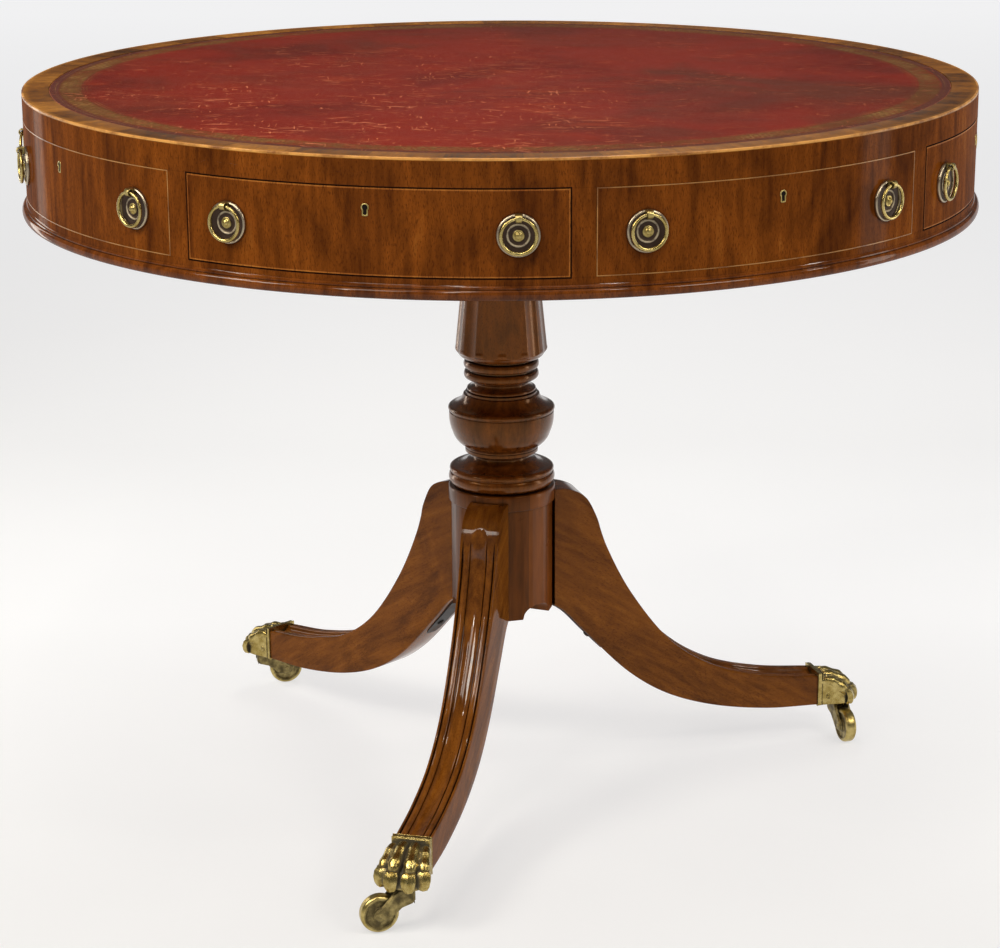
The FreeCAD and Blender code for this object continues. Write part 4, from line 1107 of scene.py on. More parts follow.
# %% [markdown]
# ## Column
# The column is the turner's show piece: a round foot, a swelling bulb between two necks, a small
# bead, a pair of rings, and a tapered drum with twelve shallow flutes. The profile is drawn from the
# foot upwards in the stretches a turner would cut. The flutes are cut by a long round tool laid along
# the taper, so at each angle the lathe's shape function takes the wood's or the tool's distance,
# whichever is less.
# %% Column profile
foot_z = high("hub").z
head_z = platform_low
column = Profile(0.0, foot_z).line(0.0500, foot_z).line(0.0525, foot_z + 0.0015)
column.swell(0.0546, 0.3450, 0.0026, 10).line(0.0541, 0.3453).line(0.0541, 0.3460).line(0.0546, 0.3463)
column.swell(0.0515, 0.3520, 0.0020, 8).swell(0.0360, 0.3585, -0.0016, 10).line(0.0335, 0.3590)
column.swell(0.0335, 0.3662, -0.0028, 10).line(0.0378, 0.3668).line(0.0385, 0.3674).line(0.0385, 0.3704)
column.line(0.0378, 0.3710).swell(0.0392, 0.3735, -0.0006, 5).swell(0.0520, 0.3895, 0.0022, 12)
column.swell(0.0552, 0.4105, 0.0013, 12).line(0.0546, 0.4110).line(0.0546, 0.4118).line(0.0555, 0.4123)
column.swell(0.0545, 0.4172, 0.0012, 8).swell(0.0400, 0.4295, -0.0030, 12).line(0.0376, 0.4302)
column.line(0.0376, 0.4325).line(0.0350, 0.4329).bead(0.4368, 0.0014, 8).line(0.0336, 0.4371)
column.swell(0.0335, 0.4462, -0.0044, 12).line(0.0366, 0.4468)
column.bead(0.4555, 0.0028, 12).line(0.0352, 0.4558).line(0.0352, 0.4572).line(0.0366, 0.4575)
column.bead(0.4668, 0.0030, 12).line(0.0352, 0.4672).line(0.0352, 0.4690)
column.swell(0.0462, 0.4752, 0.0024, 12).swell(0.0478, 0.4812, 0.0012, 10).line(0.0476, 0.4840)
taper_low, taper_high = (0.0476, 0.4840), (0.0360, head_z - 0.0118)
taper_steps = 24
for i in range(1, taper_steps + 1):
    share = i / taper_steps
    column.line(*[a + (b - a) * share for a, b in zip(taper_low, taper_high)])
column.line(0.0375, head_z - 0.0112).bead(head_z - 0.0072, 0.0018, 8).line(0.0365, head_z - 0.0064)
column.swell(0.0430, head_z, -0.0008, 6).line(0.0, head_z)
print("column", round(head_z - foot_z, 4), "high from", round(foot_z, 3), "in", len(column.points), "points")

# %% Column with its flutes
flute_count, flute_tool_radius, flute_depth = 12, 0.030, 0.0019
flute_low, flute_high = 0.4680, head_z - 0.0150


def fluted(radius, height, angle):
    """The radius left when a round tool has run up the taper in each flute."""
    if not flute_low < height < flute_high:
        return radius
    slope = (taper_high[0] - taper_low[0]) / (taper_high[1] - taper_low[1])
    surface = taper_low[0] + slope * (height - taper_low[1])
    tool_axis = surface + flute_tool_radius - flute_depth
    off = (angle + pi / flute_count) % (tau / flute_count) - pi / flute_count
    side = flute_tool_radius ** 2 - (tool_axis * sin(off)) ** 2
    if side <= 0:
        return radius
    return min(radius, tool_axis * cos(off) - sqrt(side))


column_mesh = lathe("turned_column", column, 240, shape=fluted, crease=44)
dress("turned_column", column_mesh, "base", turned_wood, ["column"])
print("column of", len(column_mesh.polygons), "faces with", flute_count, "flutes")

# %% [markdown]
# ## Hub
# The hub is a twelve-sided block with a round collar, and an arched notch is cut under it between
# each two legs. Its panels are planed so lightly that it looks nearly round. So it is made of rings
# of close points: the radius at each angle is the lesser of the panel's and a circle's, and the ring
# at the foot rises where an arch is. Its veneer is laid panel by panel, with a joint at each corner.
# %% Hub
hub_low_z, hub_top_z = low("hub").z, high("hub").z
hub_sides, hub_flat, hub_round = 12, 0.0530, 0.0536
collar_radius, collar_height, collar_eased = 0.0563, 0.017, 0.0012
arch_rise, arch_half_width, arch_core = 0.0135, 0.0195, 0.0170
arch_square, arch_round = 2.4, 0.45
collar_step, top_round = 0.0002, 0.0016
hub_steps = 480


def wall_radius(angle):
    """The panel's distance at an angle, but no more than the circle's."""
    half_panel = pi / hub_sides
    off = (angle + half_panel) % (2 * half_panel) - half_panel
    return min(hub_flat / cos(off), hub_round)


def arch_height(angle):
    """How high the foot of the wall is lifted by the arch between two legs."""
    between_legs = radians(leg_azimuths["right"] + 60)
    third = tau / len(leg_azimuths)
    off = (angle - between_legs + third / 2) % third - third / 2
    reach = abs(off) * hub_flat / arch_half_width
    return arch_rise * (1 - reach ** arch_square) ** arch_round if reach < 1 else 0.0


def hub_mesh():
    angles = [tau * i / hub_steps for i in range(hub_steps)]
    collar_low = hub_top_z - collar_height

    def ring(radius, height):
        return [(radius(a) * cos(a), radius(a) * sin(a), height(a)) for a in angles]

    rows = [[(0, 0, hub_low_z)],
            ring(lambda a: arch_core, lambda a: hub_low_z),
            ring(lambda a: arch_core, lambda a: hub_low_z + arch_height(a)),
            ring(wall_radius, lambda a: hub_low_z + arch_height(a)),
            ring(wall_radius, lambda a: collar_low)]
    edge = Profile(hub_round, collar_low).line(collar_radius - collar_eased, collar_low + collar_step)
    edge.swell(collar_radius, collar_low + collar_eased, collar_eased / 5, 4)
    edge.line(collar_radius, hub_top_z - top_round).swell(collar_radius - top_round, hub_top_z, 0.0003, 4)
    for radius, height in edge.points[1:]:
        rows.append(ring(lambda a: radius, lambda a: height))
    rows.append([(0, 0, hub_top_z)])
    bm = bmesh.new()
    skin(bm, rows)
    return finish_mesh(bm, "hub_block", 42)


def hub_finish():
    """Mahogany panels with a thin dark joint down each corner of the block, and painted shade in its hollows.
    """
    f = Finish("mahogany_hub")
    angle = from_the_middle(f)[1]
    where = f.place()
    turn_share = angle * (hub_sides / tau) + 0.5
    piece = turn_share.math("FLOOR", turn_share)
    tone_of_piece = f.add("ShaderNodeTexWhiteNoise", {"noise_dimensions": "1D"}, {"W": piece + 3.0})
    joint = f.step(abs(turn_share % 1.0 - 0.5), 0.480, 0.494)
    along = f.stretch(where, 1.0, 1.0, 0.12)
    figure, streak = f.noise(along, 16.0, 4.0, 0.6, 0.6), f.noise(along, 130.0, 3.0, 0.6)
    scuff = f.noise(where, 45.0, 5.0, 0.7)
    tone = 0.55 * figure + 0.40 * streak + 0.14 * tone_of_piece - 0.14
    wood = f.ramp(tone, (0.24, mahogany_deep), (0.55, mahogany_mid), (0.90, mahogany_light))
    colour = f.mix(joint * 0.6, wood, wood_dirt_and_shade)
    # painted shade: darker in the hub's hollows and under the collar, where ambient occlusion finds them
    colour = f.mix(f.hollow(0.006) * 0.85, colour, wood_dirt_and_shade)
    return f.surface(Base_Color=colour, Roughness=0.20 + 0.22 * scuff, Coat_Weight=0.14, Coat_Roughness=0.10,
                     Normal=f.bump(streak * 0.3 - joint, 0.00012, 0.6), Specular_IOR_Level=0.3,
                     Specular_Tint=(*honey_gleam, 1.0))


hub = hub_mesh()
dress("hub_block", hub, "base", hub_finish(), ["hub"])
print("hub of", len(hub.polygons), "faces with 3 arches")

# %% [markdown]
# ## Sabre legs
# A sabre leg is sawn from a plank to a sweeping side shape, and its top is then moulded along the
# sweep: a bead at each edge, a quirk, a round reed, and a wide hollow between the reeds. So the leg
# is made as sections that stand square to its upper edge, one after the other, with a skin over
# them. The moulding rises out of the plain wood over its first stretch, and so its grooves end in
# round tips.
# %% Leg outlines
leg_reach, leg_rise = 0.362, 0.3235
leg_upper_shares = ((0.127, 1.000), (0.188, 0.996), (0.238, 0.969), (0.271, 0.907), (0.310, 0.786),
                    (0.390, 0.613), (0.525, 0.421), (0.663, 0.319), (0.829, 0.266), (1.000, 0.2425))
leg_lower_shares = ((0.127, 0.608), (0.171, 0.579), (0.243, 0.492), (0.381, 0.334),
                    (0.497, 0.245), (0.641, 0.183), (0.829, 0.1435), (1.000, 0.134))


def smooth_line(shares, steps=24):
    """A smooth line through an outline's points, as closely spaced (radius, height) points."""
    points = [Vector((leg_reach * a, 0, leg_rise * b)) for a, b in shares]
    line = []
    for i in range(len(points) - 1):
        p0 = points[i - 1] if i else points[0] * 2 - points[1]
        p1, p2 = points[i], points[i + 1]
        p3 = points[i + 2] if i + 2 < len(points) else p2 * 2 - p1
        t0, t1, t2 = [(b - a).length ** 0.5 for a, b in ((p0, p1), (p1, p2), (p2, p3))]
        m1 = (p2 - p1) + t1 * ((p1 - p0) / t0 - (p2 - p0) / (t0 + t1))
        m2 = (p2 - p1) + t1 * ((p3 - p2) / t2 - (p3 - p1) / (t1 + t2))
        for j in range(steps + (i + 2 == len(points))):
            t = j / steps
            a, b = 2 * t ** 3 - 3 * t ** 2 + 1, t ** 3 - 2 * t ** 2 + t
            c, d = -2 * t ** 3 + 3 * t ** 2, t ** 3 - t ** 2
            line.append(a * p1 + b * m1 + c * p2 + d * m2)
    return line


def from_hub(line):
    """The line without what would lie inside the hub."""
    start = hub_flat + 0.0001
    for i, (a, b) in enumerate(zip(line, line[1:])):
        if a.x <= start < b.x:
            return [a.lerp(b, (start - a.x) / (b.x - a.x))] + line[i + 1:]
    return line


def spaced(line, count):
    """The line divided into equal lengths: its points, and how far along each one is."""
    run = [0.0]
    for a, b in zip(line, line[1:]):
        run.append(run[-1] + (b - a).length)
    points, places, k = [], [], 0
    for i in range(count):
        want = run[-1] * i / (count - 1)
        while k < len(run) - 2 and run[k + 1] < want:
            k += 1
        share = (want - run[k]) / (run[k + 1] - run[k])
        points.append(line[k].lerp(line[k + 1], min(1.0, share)))
        places.append(want)
    return points, places


leg_stations = 150
upper_edge, upper_run = spaced(from_hub(smooth_line(leg_upper_shares)), leg_stations)
lower_edge, lower_run = spaced(from_hub(smooth_line(leg_lower_shares)), leg_stations)
print("leg's upper edge", round(upper_run[-1], 3), "long, lower edge", round(lower_run[-1], 3))

# %% Leg moulding
leg_width_hub, leg_width_toe = 0.0405, 0.0365
moulding_deep, moulding_from, moulding_fade = 0.0056, 0.088, 0.036
bead_share, quirk_share, reed_share, groove_share = 0.070, 0.088, 0.275, 0.292
crest_depth, bead_drop, reed_drop, quirk_depth, hollow_edge = 0.04, 0.40, 0.56, 0.62, 0.42


def round_height(off):
    """The height of a half circle, from 1 in its middle to 0 where off is 1."""
    return sqrt(max(0.0, 1 - off ** 2))


def moulding_depth(share):
    """How deep the moulding is at a share of the leg's width: bead, quirk, reed, groove, hollow."""
    a = min(share, 1 - share)
    if a < bead_share:
        return crest_depth + bead_drop * (1 - round_height(2 * a / bead_share - 1))
    if a < quirk_share:
        return quirk_depth
    if a < reed_share:
        middle, half = (quirk_share + reed_share) / 2, (reed_share - quirk_share) / 2
        return crest_depth + reed_drop * (1 - round_height((a - middle) / half))
    if a < groove_share:
        return quirk_depth
    return hollow_edge + (1 - hollow_edge) * round_height((0.5 - a) / (0.5 - groove_share))


def across_places():
    """Places across the leg, close together where the moulding turns fast."""
    stops = ((0.0, bead_share, 9), (bead_share, quirk_share, 2), (quirk_share, reed_share, 13),
             (reed_share, groove_share, 2), (groove_share, 0.5, 10))
    half = []
    for start, end, count in stops:
        for i in range(count):
            t = i / count
            half.append(start + (end - start) * (1 - cos(pi * t)) / 2 + 1e-5)
    return half + [0.5] + [1 - a for a in reversed(half)]


# %% Legs
leg_side_steps, leg_round = 5, 0.0022
leg_width_from, fade_overlap = 0.046, 1.1


def leg_mesh():
    start_run = next(run for point, run in zip(upper_edge, upper_run) if point.x >= moulding_from)
    places = across_places()
    rows = []
    for i in range(leg_stations):
        top, under = upper_edge[i], lower_edge[i]
        before, after = upper_edge[max(0, i - 1)], upper_edge[min(leg_stations - 1, i + 1)]
        along = (after - before).normalized()
        normal = Vector((-along.z, 0, along.x))
        outwards = (top.x - leg_width_from) / (leg_reach - leg_width_from)
        width = leg_width_hub + (leg_width_toe - leg_width_hub) * outwards
        fade = max(0.0, 1 - (upper_run[i] - start_run) / moulding_fade)
        lift = moulding_deep * fade_overlap * fade
        row = []
        for share in places:
            sunk = min(0.0, lift - moulding_deep * moulding_depth(share))
            row.append(top + normal * sunk + Vector((0, width * (share - 0.5), 0)))
        wide = width / 2
        down = under - top
        side = [(wide, j / leg_side_steps) for j in range(1, leg_side_steps)]
        foot = leg_round / down.length
        side += [(wide, 1 - foot), (wide - leg_round * 0.3, 1 - foot * 0.3), (wide - leg_round, 1.0)]
        row += [top + down * t + Vector((0, y, 0)) for y, t in side]
        row += [top + down * t + Vector((0, -y, 0)) for y, t in reversed(side)]
        rows.append(row)
    bm = bmesh.new()
    cap_ends(bm, skin(bm, rows))
    return finish_mesh(bm, "sabre_leg", 38)


leg_grain_tilt = radians(-32)
flank_polish, moulding_polish, leg_polish_edge = 0.28, 0.85, 0.0016


def leg_polish(f):
    """Hands and cloths reach the moulding on top, so it shines more than the flanks."""
    y = f.parts(f.place())[1]
    on_flank = f.step(abs(y), leg_width_toe / 2 - leg_polish_edge, leg_width_toe / 2)
    return moulding_polish + on_flank * (flank_polish - moulding_polish)


leg_wood = mahogany("mahogany_legs", (0.12, 1.0, 1.0), darker=0.03, ribbon=16.0, polish=leg_polish,
                    gloss=0.05, tilt=leg_grain_tilt, shades=leg_shades, shade_and_dirt_reach=0.0035)
leg = leg_mesh()
for name, azimuth in leg_azimuths.items():
    dress(f"sabre_leg_{name}", leg, "base", leg_wood, [f"leg_{name}"], turned_to(azimuth))
print("leg of", len(leg.polygons), "faces, used 3 times")

# %% [markdown]
# ## Straps below the hub
# A turned base is weak where the legs meet it, so iron is screwed on from below: three straps that
# start from a small disc under the hub, one along each leg. A smith thins and rounds the end of each
# strap. The strap follows the leg's lower edge, so it is made of sections that hang from its points.
# %% Straps
strap_disc_radius, strap_disc_low = 0.0165, low("hub").z - 0.0030
strap_half, strap_thick, strap_thin, strap_end = 0.011, 0.0020, 0.0009, 0.112
strap_under_hub = (0.0120, 0.0250, 0.0380, 0.0480)
strap_sunk, strap_arris, strap_taper = 0.0003, 0.0004, 0.05
strap_screws, strap_screw = (0.025, 0.064, 0.096), 0.0036


def strap_line():
    """Points of the strap's upper face: under the disc's edge, then along the leg."""
    along_leg = [p for p in lower_edge if p.x <= strap_end]
    return [Vector((r, 0, hub_low_z)) for r in strap_under_hub] + along_leg


def strap_mesh():
    bm = bmesh.new()
    line = strap_line()
    rows = []
    for i, point in enumerate(line):
        along = (line[min(i + 1, len(line) - 1)] - line[max(i - 1, 0)]).normalized()
        down = Vector((along.z, 0, -along.x))
        to_end = max(0.0, strap_end - point.x)
        half = strap_half * sqrt(max(0.02, 1 - max(0.0, 1 - to_end / strap_half) ** 2))
        thick = strap_thin + (strap_thick - strap_thin) * min(1.0, to_end / strap_taper)
        inside, outside = point - down * strap_sunk, point + down * thick
        eased = half - strap_arris
        rows.append([inside + Vector((0, -half, 0)), inside + Vector((0, half, 0)),
                     outside + Vector((0, eased, 0)), outside + Vector((0, -eased, 0))])
    cap_ends(bm, skin(bm, rows))
    for reach in strap_screws:
        nearest = min(range(len(line) - 1), key=lambda i: abs(line[i].x - reach))
        along = (line[nearest + 1] - line[nearest]).normalized()
        down = Vector((along.z, 0, -along.x))
        screw_into(bm, line[nearest] + down * strap_thick, strap_screw, down, reach * 20)
    return finish_mesh(bm, "iron_strap", 40)


strap_disc = Profile(0, strap_disc_low).line(strap_disc_radius - arris, strap_disc_low)
strap_disc.line(strap_disc_radius, strap_disc_low + arris).line(strap_disc_radius, hub_low_z)
strap_disc.line(0, hub_low_z)
dress("strap_disc", lathe("strap_disc", strap_disc, 96), "base", iron, ["spider_plate"])
strap = strap_mesh()
for name, azimuth in leg_azimuths.items():
    dress(f"strap_{name}", strap, "base", iron, ["spider_plate"], turned_to(azimuth))
print("3 straps of", 2 * strap_half, "width")

# %% [markdown]
# ## Paw caps
# Each leg ends in a cast brass lion's paw: a block with flat sides, four toes that fan out over it
# with two knuckles each, and a broad claw below each toe. A casting is modelled in wax first. So here
# a tapering block and strings of spheres are put together, a voxel remesh melts them into one skin,
# and smoothing takes off the steps. The collar, the claws and the side screws stay crisp.
# %% Wax strings
def ball_into(bm, centre, radius, around=12):
    rows = [[centre + Vector((0, 0, -radius))]]
    for i in range(1, around // 2):
        b = -pi / 2 + pi * i / (around // 2)
        turns = [tau * j / around for j in range(around)]
        rows.append([centre + radius * Vector((cos(b) * cos(a), cos(b) * sin(a), sin(b))) for a in turns])
    rows.append([centre + Vector((0, 0, radius))])
    skin(bm, rows)


def string_into(bm, beads, gap=0.0008):
    """Spheres strung close together through beads of (x, y, z, radius)."""
    for a, b in zip(beads, beads[1:]):
        count = max(1, round(hypot(*[q - p for p, q in zip(a[:3], b[:3])]) / gap))
        for i in range(count + 1):
            x, y, z, r = [p + (q - p) * i / count for p, q in zip(a, b)]
            ball_into(bm, Vector((x, y, z)), r)


def melted(bm, voxel, smoothing):
    """The lumps of a bmesh melted into one skin."""
    lumps = bpy.data.objects.new("lumps", bpy.data.meshes.new("lumps"))
    bm.to_mesh(lumps.data)
    bm.free()
    bpy.context.scene.collection.objects.link(lumps)
    remesh = lumps.modifiers.new("melt", "REMESH")
    remesh.mode, remesh.voxel_size = "VOXEL", voxel
    smooth = lumps.modifiers.new("smooth", "SMOOTH")
    smooth.factor, smooth.iterations = 0.5, smoothing
    evaluated = lumps.evaluated_get(bpy.context.evaluated_depsgraph_get())
    mesh = bpy.data.meshes.new_from_object(evaluated)
    bpy.data.objects.remove(lumps)
    skin_mesh = bmesh.new()
    skin_mesh.from_mesh(mesh)
    return skin_mesh


# %% Paw block and toes
cap_low_z = low("paw_cap_right").z
paw_start, paw_half = leg_reach, leg_width_toe / 2
wax_voxel, wax_smoothing = 0.0007, 3
block_shape = ((0.001, 0.0186, 0.0735), (0.012, 0.0194, 0.0748), (0.024, 0.0220, 0.0705),
               (0.0325, 0.0224, 0.0630), (0.0375, 0.0185, 0.0575), (0.0435, 0.0120, 0.0530))
inner_toe = {"start": 0.0050, "end": 0.0086, "length": 0.0460, "claw": 0.0512,
             "beads": ((0.004, 0.0720, 0.0044), (0.012, 0.0742, 0.0058), (0.018, 0.0734, 0.0062),
                       (0.0255, 0.0698, 0.0060), (0.0330, 0.0660, 0.0074), (0.0370, 0.0630, 0.0064),
                       (0.0385, 0.0606, 0.0054))}
outer_toe = {"start": 0.0145, "end": 0.0208, "length": 0.0370, "claw": 0.0420,
             "beads": ((0.004, 0.0704, 0.0040), (0.011, 0.0718, 0.0050), (0.017, 0.0704, 0.0054),
                       (0.0225, 0.0664, 0.0054), (0.0280, 0.0626, 0.0066), (0.0310, 0.0600, 0.0056),
                       (0.0322, 0.0580, 0.0048))}
claw_shape = ((0.0618, -0.0046, 0.0052), (0.0585, -0.0012, 0.0070), (0.0530, 0.0008, 0.0072),
              (0.0474, 0.0008, 0.0060), (0.0434, -0.0004, 0.0040))
claw_deep, claw_ridge = 0.0085, 0.0026
collar_proud, collar_thick, collar_rise = 0.0010, 0.0045, 0.0026
second_ring_gap, second_ring_end, trim_arris = 0.0008, 0.0020, 0.0005
paw_screw_place, paw_screw = (0.0133, 0.0012, 0.0530), 0.0031


def toe_point(toe, side, along, z, across=0.0):
    """A point of a toe, whose line starts near the collar's middle and fans out."""
    fan = side * (toe["end"] - toe["start"]) / toe["length"]
    return Vector((paw_start + along - fan * across, side * toe["start"] + fan * along + across, z))


def claw_into(bm, toe, side):
    """A broad blade with a ridge down its middle, against the toe's tip."""
    rows = []
    for z, out, half in claw_shape:
        face = toe["claw"] + out
        root, shoulder = face - claw_deep, face - claw_ridge
        outline = ((root, -half), (shoulder, -half), (face, 0.0), (shoulder, half), (root, half))
        rows.append([toe_point(toe, side, along, z, across) for along, across in outline])
    cap_ends(bm, skin(bm, rows))


# %% Paw
def paw_mesh():
    wax = bmesh.new()
    block = []
    for along, half, top in block_shape:
        x = paw_start + along
        block.append([(x, -half, cap_low_z), (x, half, cap_low_z), (x, half, top), (x, -half, top)])
    cap_ends(wax, skin(wax, block))
    for toe in (inner_toe, outer_toe):
        for side in (-1, 1):
            string_into(wax, [(*toe_point(toe, side, along, z)[:], r) for along, z, r in toe["beads"]])
    paw_skin = melted(wax, wax_voxel, wax_smoothing)
    for vertex in paw_skin.verts:
        vertex.co.z = max(vertex.co.z, cap_low_z + 0.0001)
    crisp = bmesh.new()
    leg_low = leg_rise * leg_lower_shares[-1][1]
    collar_top = leg_rise * leg_upper_shares[-1][1] + collar_rise
    collar_half, collar_end = paw_half + collar_proud, paw_start + collar_thick
    second_half = paw_half + collar_proud * 0.8
    box_into(crisp, paw_start, collar_end, -collar_half, collar_half, leg_low - collar_proud + 0.0006,
             collar_top)
    box_into(crisp, collar_end + second_ring_gap, collar_end + second_ring_end, -second_half, second_half,
             leg_low, collar_top - second_ring_gap)
    for toe in (inner_toe, outer_toe):
        for side in (-1, 1):
            claw_into(crisp, toe, side)
    ease(crisp, trim_arris, angle=30, steps=2)
    along, proud, height = paw_screw_place
    for side in (-1, 1):
        screw_into(crisp, Vector((paw_start + along, side * (paw_half + proud), height)), paw_screw,
                   Vector((0.1, side, 0)).normalized(), 0.9)
    paw_skin.from_mesh(finish_mesh(crisp, "paw_trim"))
    return finish_mesh(paw_skin, "lion_paw", 50)


paw_crust = (0.075, 0.066, 0.050)
crust_from, crust_full = 0.0044, 0.0056


def paw_finish():
    """Cast brass: rubbed toes, grey-brown crust in the grooves, and hair lines along the foot."""
    f = Finish("brass_paws")
    where = f.place()
    cloud, fine, metal = cast_brass(f, 110.0, 800.0, 0.30, 0.66)
    hair = f.noise(f.stretch(where, 90.0, 700.0, 260.0), 1.0, 3.0, 0.6)
    x = f.parts(where)[0]
    past_collar = f.step(x, paw_start + crust_from, paw_start + crust_full)
    crust = (f.hollow(0.0080, 10) * 0.95 + cloud * 0.60 - 0.04) * (0.45 + 0.55 * past_collar)
    mask = f.step(crust, 0.34, 0.74)
    colour = f.mix(mask * 0.9, metal, paw_crust)
    relief = f.bump(fine + cloud * 3.0, 0.00010, 0.4, f.bump(hair, 0.0006, 0.35))
    return f.surface(Base_Color=colour, Metallic=1 - 0.6 * mask, Roughness=0.20 + 0.30 * mask + 0.14 * fine,
                     Normal=relief)


paw = paw_mesh()
paw_brass = paw_finish()
for name, azimuth in leg_azimuths.items():
    dress(f"lion_paw_{name}", paw, "base", paw_brass, [f"paw_cap_{name}"], turned_to(azimuth),
          flats=True)
print("paw of", len(paw.polygons), "faces")

# %% [markdown]
# ## Castors
# Under each paw a brass castor swivels. Its horn has a block over the pivot and a curved cheek on each
# side of the wheel, and the wheel is a thick disc with a crowned tread and dished sides. The cheek is
# an outline with thickness, the wheel is turned. They are made with the pivot at the origin and the
# wheel trailing along +X, then turned as they stand in the photograph.
# %% Castor pieces
wheel_radius, wheel_half_width = 0.019, 0.006
tread_from, tread_full = 0.0156, 0.0172
castor_trail, castor_pivot = 0.025, 0.394
cheek_thick, cheek_gap = 0.0025, 0.0007
horn_top = cap_low_z - 0.0004
horn_low = horn_top - 0.015
horn_back, horn_front, horn_arris = -0.0085, 0.0036, 0.0010
pin_radius, pin_length = 0.0040, 0.010
castor_turns = {"front": -58.0, "right": -90.0, "left": -122.0}
sideways = Matrix.Translation((castor_trail, 0, wheel_radius)) @ Matrix.Rotation(radians(90), 4, "X")


def arc_points(cx, cz, radius, start, end, count):
    return [(cx + radius * cos(radians(start + (end - start) * i / count)),
             cz + radius * sin(radians(start + (end - start) * i / count))) for i in range(count + 1)]


def cheek_outline():
    """The side shape of a cheek, from the block over the pivot down to the axle."""
    points = arc_points(castor_trail, wheel_radius, 0.0056, -105, 78, 14)
    points += [(0.0215, horn_top - 0.0140), (0.0165, horn_top - 0.0085), (0.0115, horn_top - 0.0034),
               (0.006, horn_top - 0.0004), (0.003, horn_top), (horn_back, horn_top)]
    points += [(horn_back, horn_low + 0.003), (-0.0060, horn_low), (0.0040, horn_low - 0.0030)]
    points += [(0.0100, horn_low - 0.0080), (0.0165, horn_low - 0.0138)]
    return points


def horn_mesh():
    bm = bmesh.new()
    inner = wheel_half_width + cheek_gap
    for side in (-1, 1):
        rows = [[(x, side * y, z) for x, z in cheek_outline()] for y in (inner, inner + cheek_thick)]
        cap_ends(bm, skin(bm, rows))
    block_half = inner + 0.0001
    box_into(bm, horn_back, horn_front, -block_half, block_half, horn_low, horn_top)
    ease(bm, horn_arris, angle=30)
    return finish_mesh(bm, "castor_horn", 42)


def axle_mesh():
    end = wheel_half_width + cheek_gap + cheek_thick
    axle = Profile(0, -end - 0.0012).swell(0.0022, -end - 0.0008, -0.0001, 4)
    axle.swell(0.0034, -end, -0.0003, 4)
    axle.line(0.0028, -end).line(0.0028, end).line(0.0034, end).swell(0.0022, end + 0.0008, -0.0003, 4)
    axle.swell(0, end + 0.0012, -0.0001, 4)
    return lathe("castor_axle", axle, 32, axis=sideways)


def wheel_mesh():
    half = wheel_half_width
    wheel = Profile(0.0031, -half).line(0.0058, -half).swell(0.0075, -half + 0.0014, 0.0003, 4)
    wheel.line(0.0128, -half + 0.0016).swell(0.0146, -half, -0.0003, 4).line(0.0168, -half)
    wheel.swell(wheel_radius, -half * 0.35, 0.0007, 8).line(wheel_radius, half * 0.35)
    wheel.swell(0.0168, half, 0.0007, 8).line(0.0146, half).swell(0.0128, half - 0.0016, -0.0003, 4)
    wheel.line(0.0075, half - 0.0014).swell(0.0058, half, 0.0003, 4).line(0.0031, half).line(0.0031, -half)
    return lathe("castor_wheel", wheel, 72, axis=sideways)


def wheel_finish():
    """The tread is rubbed bright by the floor, the dished sides keep their crust."""
    f = Finish("brass_wheel")
    x, _, z = f.parts(f.place())
    from_axle = ((x - castor_trail) ** 2.0 + (z - wheel_radius) ** 2.0) ** 0.5
    cloud, fine, metal = cast_brass(f, 120.0, 800.0)
    tread = f.step(from_axle, tread_from, tread_full)
    mask = f.step(cloud * 0.8 + f.hollow(0.003) * 0.4 - 0.55 * tread + 0.16, 0.25, 0.75)
    return f.surface(Base_Color=f.mix(mask * 0.85, metal, brass_crust), Metallic=1 - 0.5 * mask,
                     Roughness=0.24 + 0.24 * mask + 0.12 * fine,
                     Normal=f.bump(fine + cloud * 2.0, 0.00010, 0.5))


# %% Castors in place
pin_top = horn_top + pin_length
pin_shape = Profile(0, horn_top).line(pin_radius, horn_top).line(pin_radius, pin_top).line(0, pin_top)
horn, axle, wheel, pin = horn_mesh(), axle_mesh(), wheel_mesh(), lathe("swivel_pin", pin_shape, 24)
brass_wheel = wheel_finish()
for name, azimuth in leg_azimuths.items():
    a = radians(azimuth)
    pivot = Matrix.Translation((castor_pivot * cos(a), castor_pivot * sin(a), 0))
    place = pivot @ turned_to(azimuth + castor_turns[name])
    horn_node, wheel_node = f"castor_horn_{name}", f"castor_wheel_{name}"
    dress(f"horn_{name}", horn, f"castor_{name}", brass_castor, [horn_node], place, flats=True)
    dress(f"axle_{name}", axle, f"castor_{name}", brass_castor, [horn_node], place)
    dress(f"pin_{name}", pin, f"castor_{name}", brass_castor, [horn_node], place)
    dress(f"roller_{name}", wheel, f"wheel_{name}", brass_wheel, [wheel_node], place)
print("3 castors with wheels", 2 * wheel_radius, "across")

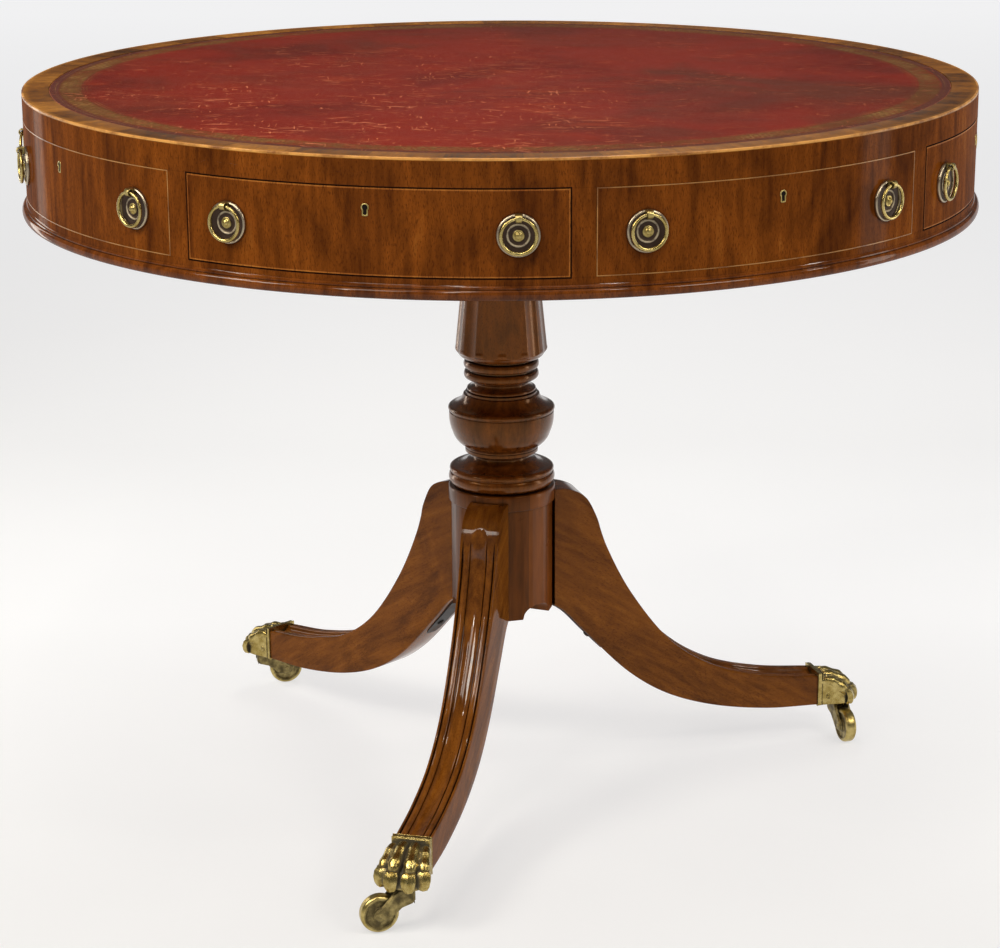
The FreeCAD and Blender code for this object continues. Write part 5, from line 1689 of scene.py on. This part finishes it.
# %% [markdown]
# ## Studio floor
# The floor is a wide flat disc, just under the wheels. It isn't part of the table. It has a very
# slight unevenness, as a painted studio floor has. The lamps light it unevenly, so it glows a little
# where they don't reach, and the photograph's even pale ground comes back.
# %% Floor
floor_radius, floor_drop = 40.0, 0.0005
view_turn = camera.rotation_euler.z
# how much the floor glows, by its distance behind the table in metres
floor_glow = ((-7.0, 0.80), (-3.5, 0.50), (-1.6, 0.40), (-0.47, 0.51), (0.5, 0.700), (1.3, 0.63), (3.0, 0.70),
              (7.0, 0.82))
glow_reach = floor_glow[-1][0] - floor_glow[0][0]
blue_tint = 0.008
lamp_side_from, lamp_side_to, lamp_side_dim = -1.6, 0.2, 0.16
lamp_near, lamp_far = 0.4, 4.5


def floor_finish():
    """Pale paint with the glow that each distance behind the table needs, less on the lamps' side."""
    f = Finish("studio_floor")
    distance, _, x, y = from_the_middle(f)
    cloud = f.noise(f.place(), 3.0, 3.0)
    fine = f.noise(f.place(), 60.0, 3.0)
    nearest = floor_glow[0][0]
    behind = (y * cos(view_turn) - x * sin(view_turn) - nearest) / glow_reach
    stops = [((place - nearest) / glow_reach, (g, g, g + blue_tint)) for place, g in floor_glow]
    glow = f.ramp(behind, *stops)
    lamp_side = 1 - f.step(x * cos(view_turn) + y * sin(view_turn), lamp_side_from, lamp_side_to)
    dimmed = lamp_side * lamp_side_dim * (1 - f.step(distance, lamp_near, lamp_far))
    glow = f.mix(dimmed, glow, (0.0, 0.0, 0.0))
    return f.surface(Base_Color=f.mix(cloud, (0.35, 0.35, 0.35), (0.37, 0.37, 0.37)), Emission_Color=glow,
                     Emission_Strength=1.0, Roughness=0.62 + 0.1 * fine, Specular_IOR_Level=0.1,
                     Normal=f.bump(fine, 0.0002, 0.3))


floor_shape = Profile(0, -floor_drop).line(floor_radius, -floor_drop)
floor = bpy.data.objects.new("floor", lathe("floor", floor_shape, 128))
floor.data.materials.append(floor_finish())
bpy.context.scene.collection.objects.link(floor)
print("floor", 2 * floor_radius, "across")
